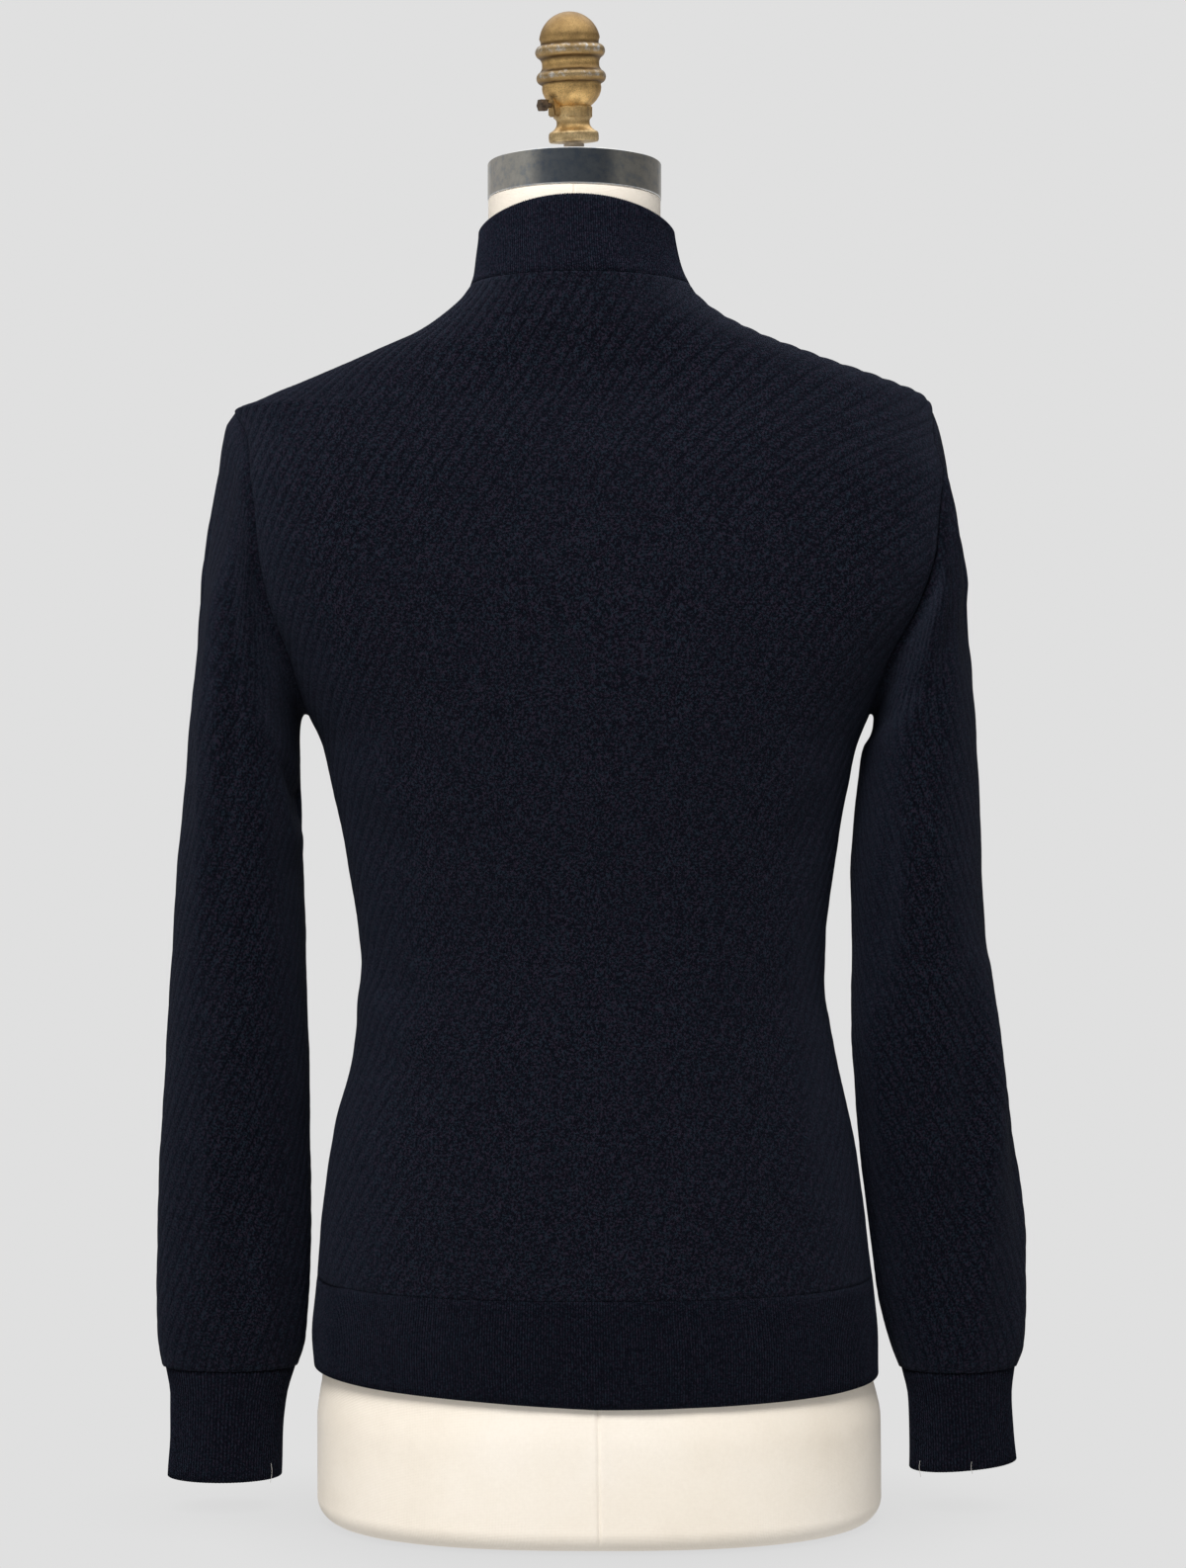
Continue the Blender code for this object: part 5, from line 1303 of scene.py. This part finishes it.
def as_mesh(line):
    """The mesh that a line's modifiers or thickness give; the line itself goes."""
    bpy.context.view_layer.update()
    mesh = bpy.data.meshes.new_from_object(
        line.evaluated_get(bpy.context.evaluated_depsgraph_get()))
    bpy.data.objects.remove(line, do_unlink=True)
    return mesh


def radius_height_uv(work):
    """Lays each corner out by its distance from the upright axis and its height."""
    layer = work.loops.layers.uv.new("cut")
    for face in work.faces:
        for loop in face.loops:
            co = loop.vert.co
            loop[layer].uv = (math.hypot(co.x, co.y), co.z)


def turned(name, profile, look, steps, matrix):
    """A turned piece from a profile of radius and height in millimetres, top to bottom."""
    mesh = bpy.data.meshes.new(name + "_line")
    mesh.from_pydata([(r * MM, 0, z * MM) for r, z in profile],
                     [(i, i + 1) for i in range(len(profile) - 1)], [])
    line = shown(name + "_line", mesh)
    screw = line.modifiers.new("turn", "SCREW")
    screw.steps = steps
    screw.render_steps = steps
    screw.use_merge_vertices = True
    screw.merge_threshold = 0.000002
    mesh = as_mesh(line)
    mesh.name = name
    work = bmesh.new()
    work.from_mesh(mesh)
    bmesh.ops.recalc_face_normals(work, faces=work.faces)
    for layer in list(work.loops.layers.uv.values()):
        work.loops.layers.uv.remove(layer)
    radius_height_uv(work)
    bmesh.ops.transform(work, matrix=matrix, verts=work.verts)
    work.to_mesh(mesh)
    work.free()
    mesh.shade_smooth()
    mesh.set_sharp_from_angle(angle=math.radians(48))
    return shown(name, mesh, look)


def arc(centre, radius, begin, end, steps):
    """Part of a profile: points on an arc between two angles in degrees."""
    return [(centre[0] + radius * math.cos(angle), centre[1] + radius * math.sin(angle))
            for angle in np.radians(np.linspace(begin, end, steps))]


def neck_hardware(chrome, steel, brass):
    """The cap, the rod and the finial."""
    x = float(MIDDLE(800 * MM)) + NECK_SIDE
    high, low = CAP_HIGH / MM, CAP_LOW / MM
    radius, edge = CAP_RADIUS / MM, CAP_ROUND / MM
    cap = [(0, high + 1.2), (20, high + 1.1), (38, high + 0.7), (48, high + 0.2)]
    cap += arc((radius - edge, high - edge), edge, 88, 0, 5)
    cap += [(radius, high - edge - 0.2), (radius, low + 0.8), (radius, low + 0.5),
            (radius - 0.5, low), (0, low)]
    cap = turned("cap_chrome", cap, chrome, 128, Matrix.Translation((x, 0, 0)))
    rod = turned("rod_steel", [(0, FINIAL_LOW / MM + 0.6), (ROD_RADIUS / MM, FINIAL_LOW / MM + 0.6),
                               (ROD_RADIUS / MM, high + 2.1), (ROD_RADIUS / MM + 1.0, high + 1.5),
                               (0, high + 1.5)],
                 steel, 48, Matrix.Translation((x + ROD_SIDE, 0, 0)))
    lean = Matrix.Rotation(FINIAL_LEAN_SIDE, 4, "Y") @ Matrix.Rotation(-FINIAL_LEAN_BACK, 4, "X")
    at = Matrix.Translation((x + ROD_SIDE, 0, FINIAL_LOW + 0.8 * MM)) @ lean
    line = arc((0, 61.5), 19.2, 90, 9, 14)
    line += [(18.3, 62.6), (18.1, 61.0), (18.7, 60.0)]
    line += arc((17.7, 56.2), 4.2, 66, -60, 10)
    line += [(19.3, 52.3), (18.6, 51.3), (18.0, 49.9), (17.9, 48.2), (18.0, 46.6), (18.7, 45.2),
             (19.3, 44.3)]
    line += arc((17.6, 40.4), 4.2, 62, -62, 10)
    line += [(18.9, 36.8), (18.4, 35.6), (18.6, 34), (18.3, 31.6), (17.2, 28.8), (15.2, 26.0),
             (13.0, 23.9), (11.6, 22.8), (11.9, 22.2), (11.6, 21.6), (11.4, 15.4), (10.6, 14.4),
             (10.4, 13.6), (10.4, 11.8), (10.9, 10.4), (12.0, 8.9), (13.6, 7.7), (14.9, 7.0),
             (15.4, 6.4), (15.6, 5.8), (15.75, 4.0), (15.6, 1.8), (15.1, 0.9), (0, 0.9)]
    finial = turned("finial_brass", line, brass, 72, at)
    work = bmesh.new()
    boss = [(6, 4.5, 16.5), (15.4, 4.5, 16.5), (15.4, 4.5, 27.5), (18.2, 1.3, 35.0), (6, 1.3, 35.0)]
    near = [work.verts.new(Vector((x, -y, z)) * MM) for x, y, z in boss]
    far = [work.verts.new(Vector((x, y, z)) * MM) for x, y, z in boss]
    work.faces.new(near)
    work.faces.new(far[::-1])
    for k in range(len(boss)):
        m = (k + 1) % len(boss)
        work.faces.new((near[m], near[k], far[k], far[m]))
    bmesh.ops.bevel(work, geom=list(work.edges), offset=0.8 * MM, segments=2, affect="EDGES")
    bmesh.ops.transform(work, matrix=Matrix.Rotation(SCREW_TURN, 4, "Z"), verts=work.verts)
    facets = bmesh.ops.create_cone(work, cap_ends=True, segments=8, radius1=12.3 * MM,
                                   radius2=12.6 * MM, depth=6.8 * MM,
                                   matrix=Matrix.Translation((0, 0, 18.9 * MM)))
    edges = {edge for vert in facets["verts"] for edge in vert.link_edges}
    bmesh.ops.bevel(work, geom=list(edges), offset=0.5 * MM, segments=1, affect="EDGES")
    radius_height_uv(work)
    bmesh.ops.recalc_face_normals(work, faces=work.faces)
    bmesh.ops.transform(work, matrix=at, verts=work.verts)
    work.from_mesh(finial.data)
    work.to_mesh(finial.data)
    work.free()
    return cap, rod, finial


def thread_end(name, points, look):
    """A cut end of sewing thread."""
    curve = bpy.data.curves.new(name, "CURVE")
    curve.dimensions = "3D"
    curve.bevel_depth = 0.14 * MM
    curve.bevel_resolution = 1
    spline = curve.splines.new("BEZIER")
    spline.bezier_points.add(len(points) - 1)
    for knot, point in zip(spline.bezier_points, points):
        knot.co = Vector(point) * MM
        knot.handle_left_type = knot.handle_right_type = "AUTO"
    return shown(name, as_mesh(shown(name + "_line", curve)), look)


# Stage


def backdrop_look():
    """A pale even sheet that glows, with a painted shadow under what stands on it."""
    nodes = material("paper")
    nodes.tree.nodes.clear()
    # Painted shadow: darker where ambient occlusion finds things close by.
    near = nodes.feed(nodes.add("ShaderNodeAmbientOcclusion", samples=8), "AO", Distance=0.08)
    paper = nodes.mix(near, (PAPER_SHADE,) * 3, (PAPER,) * 3)
    path = nodes.add("ShaderNodeLightPath").outputs
    unseen = nodes.mix(Value(nodes, path["Is Glossy Ray"]), (FLOOR_FILL,) * 3,
                       (FLOOR_MIRRORED,) * 3)
    cast = nodes.mix(Value(nodes, path["Is Camera Ray"]), unseen, paper)
    glow = nodes.feed(nodes.add("ShaderNodeEmission"), Color=cast)
    nodes.put(glow, nodes.add("ShaderNodeOutputMaterial").inputs["Surface"])
    return nodes.owner


def surroundings():
    """The light from all round, and what polished metal mirrors of it."""
    world = bpy.data.worlds.new("studio")
    bpy.context.scene.world = world
    nodes = Nodes(world)
    sideways, behind, up = nodes.parts("Generated")
    mirrored = nodes.ramp(behind * 0.5 + 0.5, MIRRORED)
    tint = nodes.add("ShaderNodeVectorMath", operation="SCALE")
    nodes.put(mirrored, tint.inputs[0])
    tint = nodes.feed(tint, Scale=sideways * 0.45 + 1.0)
    top = nodes.feed(nodes.add("ShaderNodeMapRange", interpolation_type="SMOOTHSTEP"), Value=up,
                     From_Min=0.42, From_Max=0.75)
    glow = nodes.mix(top, tint, (TOP_MIRRORED,) * 3)
    path = nodes.add("ShaderNodeLightPath").outputs
    unseen = nodes.mix(Value(nodes, path["Is Glossy Ray"]),
                       (WORLD_FILL, WORLD_FILL, WORLD_FILL * 1.02), glow)
    seen_by = nodes.mix(Value(nodes, path["Is Camera Ray"]), unseen, (PAPER,) * 3)
    nodes.put(seen_by, nodes.tree.nodes["Background"].inputs["Color"])


def stage():
    """A floor that runs out to the horizon, soft lights behind the camera, and the camera."""
    mesh = bpy.data.meshes.new("floor")
    half, low = 60, -0.0004
    mesh.from_pydata([(-half, -half, low), (half, -half, low), (half, half, low),
                      (-half, half, low)], [], [(0, 1, 2, 3)])
    shown("floor", mesh, backdrop_look())
    surroundings()

    for name, place, size, power in LAMPS:
        lamp = bpy.data.lights.new(name, "AREA")
        lamp.shape = "RECTANGLE"
        lamp.size, lamp.size_y = size
        lamp.energy = power
        lamp.color = LAMP_TINT
        made = shown(name, lamp)
        made.location = place
        made.visible_glossy = False
        toward = Vector(LAMP_AIM) - Vector(place)
        made.rotation_euler = toward.to_track_quat("-Z", "Y").to_euler()

    lens = bpy.data.cameras.new("camera")
    lens.lens = CAMERA_LENS
    lens.sensor_width = 36
    lens.clip_start, lens.clip_end = 0.05, 200
    camera = shown("camera", lens)
    camera.location = (CAMERA_SIDE, CAMERA_BACK, CAMERA_HIGH)
    camera.rotation_euler = (math.pi / 2, 0, math.pi)
    scene = bpy.context.scene
    scene.camera = camera
    scene.view_settings.view_transform = "Standard"
    scene.view_settings.look = "None"


# Build


def wearing(made, node):
    """Puts a piece on the form's body in place of one of the part's nodes."""
    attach(made, "dressed_form")
    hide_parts(node)


def build():
    # The light factors make lighter and darker copies of the one navy yarn: painted light and
    # shade.
    back_rib = knit("navy_rib_back", 0.0011, 1, light=0.95)
    left_rib = knit("navy_rib_front_left", 0.0011, -1)
    right_rib = knit("navy_rib_front_right", 0.0011, 1)
    arm_rib = knit("navy_rib_sleeve", 0.0010, -1, SLEEVE_RIB_ANGLE, SLEEVE_RIB, 0.92)
    hem_rib = knit("navy_hem_rib", 0.0008, light=1.05, stripe=FINE_RIB_HEM)
    cuff_rib = knit("navy_cuff_rib", 0.00085, light=1.05, stripe=FINE_RIB_CUFF)
    neck_rib = knit("navy_neck_rib", 0.000725, light=1.45, stripe=FINE_RIB_COLLAR)
    weave = tape_weave("navy_tape")
    dark = metal("dark_steel", (0.20, 0.145, 0.10), (0.06, 0.042, 0.03), 0.30, 0.2, 300, 0.8)
    grey = metal("zip_metal", (0.20, 0.20, 0.21), (0.09, 0.09, 0.095), 0.28, 0.2, 300)

    cloth = [
        panel("back_knit", False, 0, back_rib, CREASES_BACK, CELL),
        panel("front_left_knit", True, 1, left_rib, CREASES_FRONT, FRONT_CELL),
        panel("front_right_knit", True, -1, right_rib, CREASES_FRONT, FRONT_CELL),
        *hem(hem_rib),
        collar(neck_rib),
        sleeve("sleeve_left_knit", 1, SLEEVE_LEFT, FOLDS_LEFT, CREASES_SLEEVE_LEFT,
               CREASES_SLEEVE_FRONT, arm_rib),
        sleeve("sleeve_right_knit", -1, SLEEVE_RIGHT, FOLDS_RIGHT, CREASES_SLEEVE_RIGHT,
               CREASES_SLEEVE_FRONT_RIGHT, arm_rib),
        cuff("cuff_left_knit", 1, CUFF_LEFT, cuff_rib),
        cuff("cuff_right_knit", -1, CUFF_RIGHT, cuff_rib),
        tape("tape_left", 1, weave),
        tape("tape_right", -1, weave),
    ]
    for made, node in zip(cloth, CUTS):
        wearing(made, node)
        not node.startswith("zip_tape")
    wearing(teeth(grey), "zip_chain")
    wearing(torso(linen("cream_linen")), "form_torso")
    steel = metal("rod_steel", (0.72, 0.67, 0.62), (0.50, 0.45, 0.40), 0.24, 0.2, 90, 0.7)
    hardware = neck_hardware(worn_chrome("chrome"), steel, aged_brass("aged_brass"))
    for made, node in zip(hardware, ("neck_cap", "neck_rod", "finial")):
        wearing(made, node)
    for node, look, width in (("zip_box", grey, 0.2), ("zip_slider", grey, 0.25),
                              ("zip_pull", grey, 0.18), ("clamp_screw", dark, 0.3)):
        ease(wear(node, look), width * MM)
    for index, points in enumerate(THREADS, 1):
        thread = thread_end(f"thread_end_{index}", points, thread_look(f"thread_{index}"))
        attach(thread, "dressed_form")
    stage()


build()
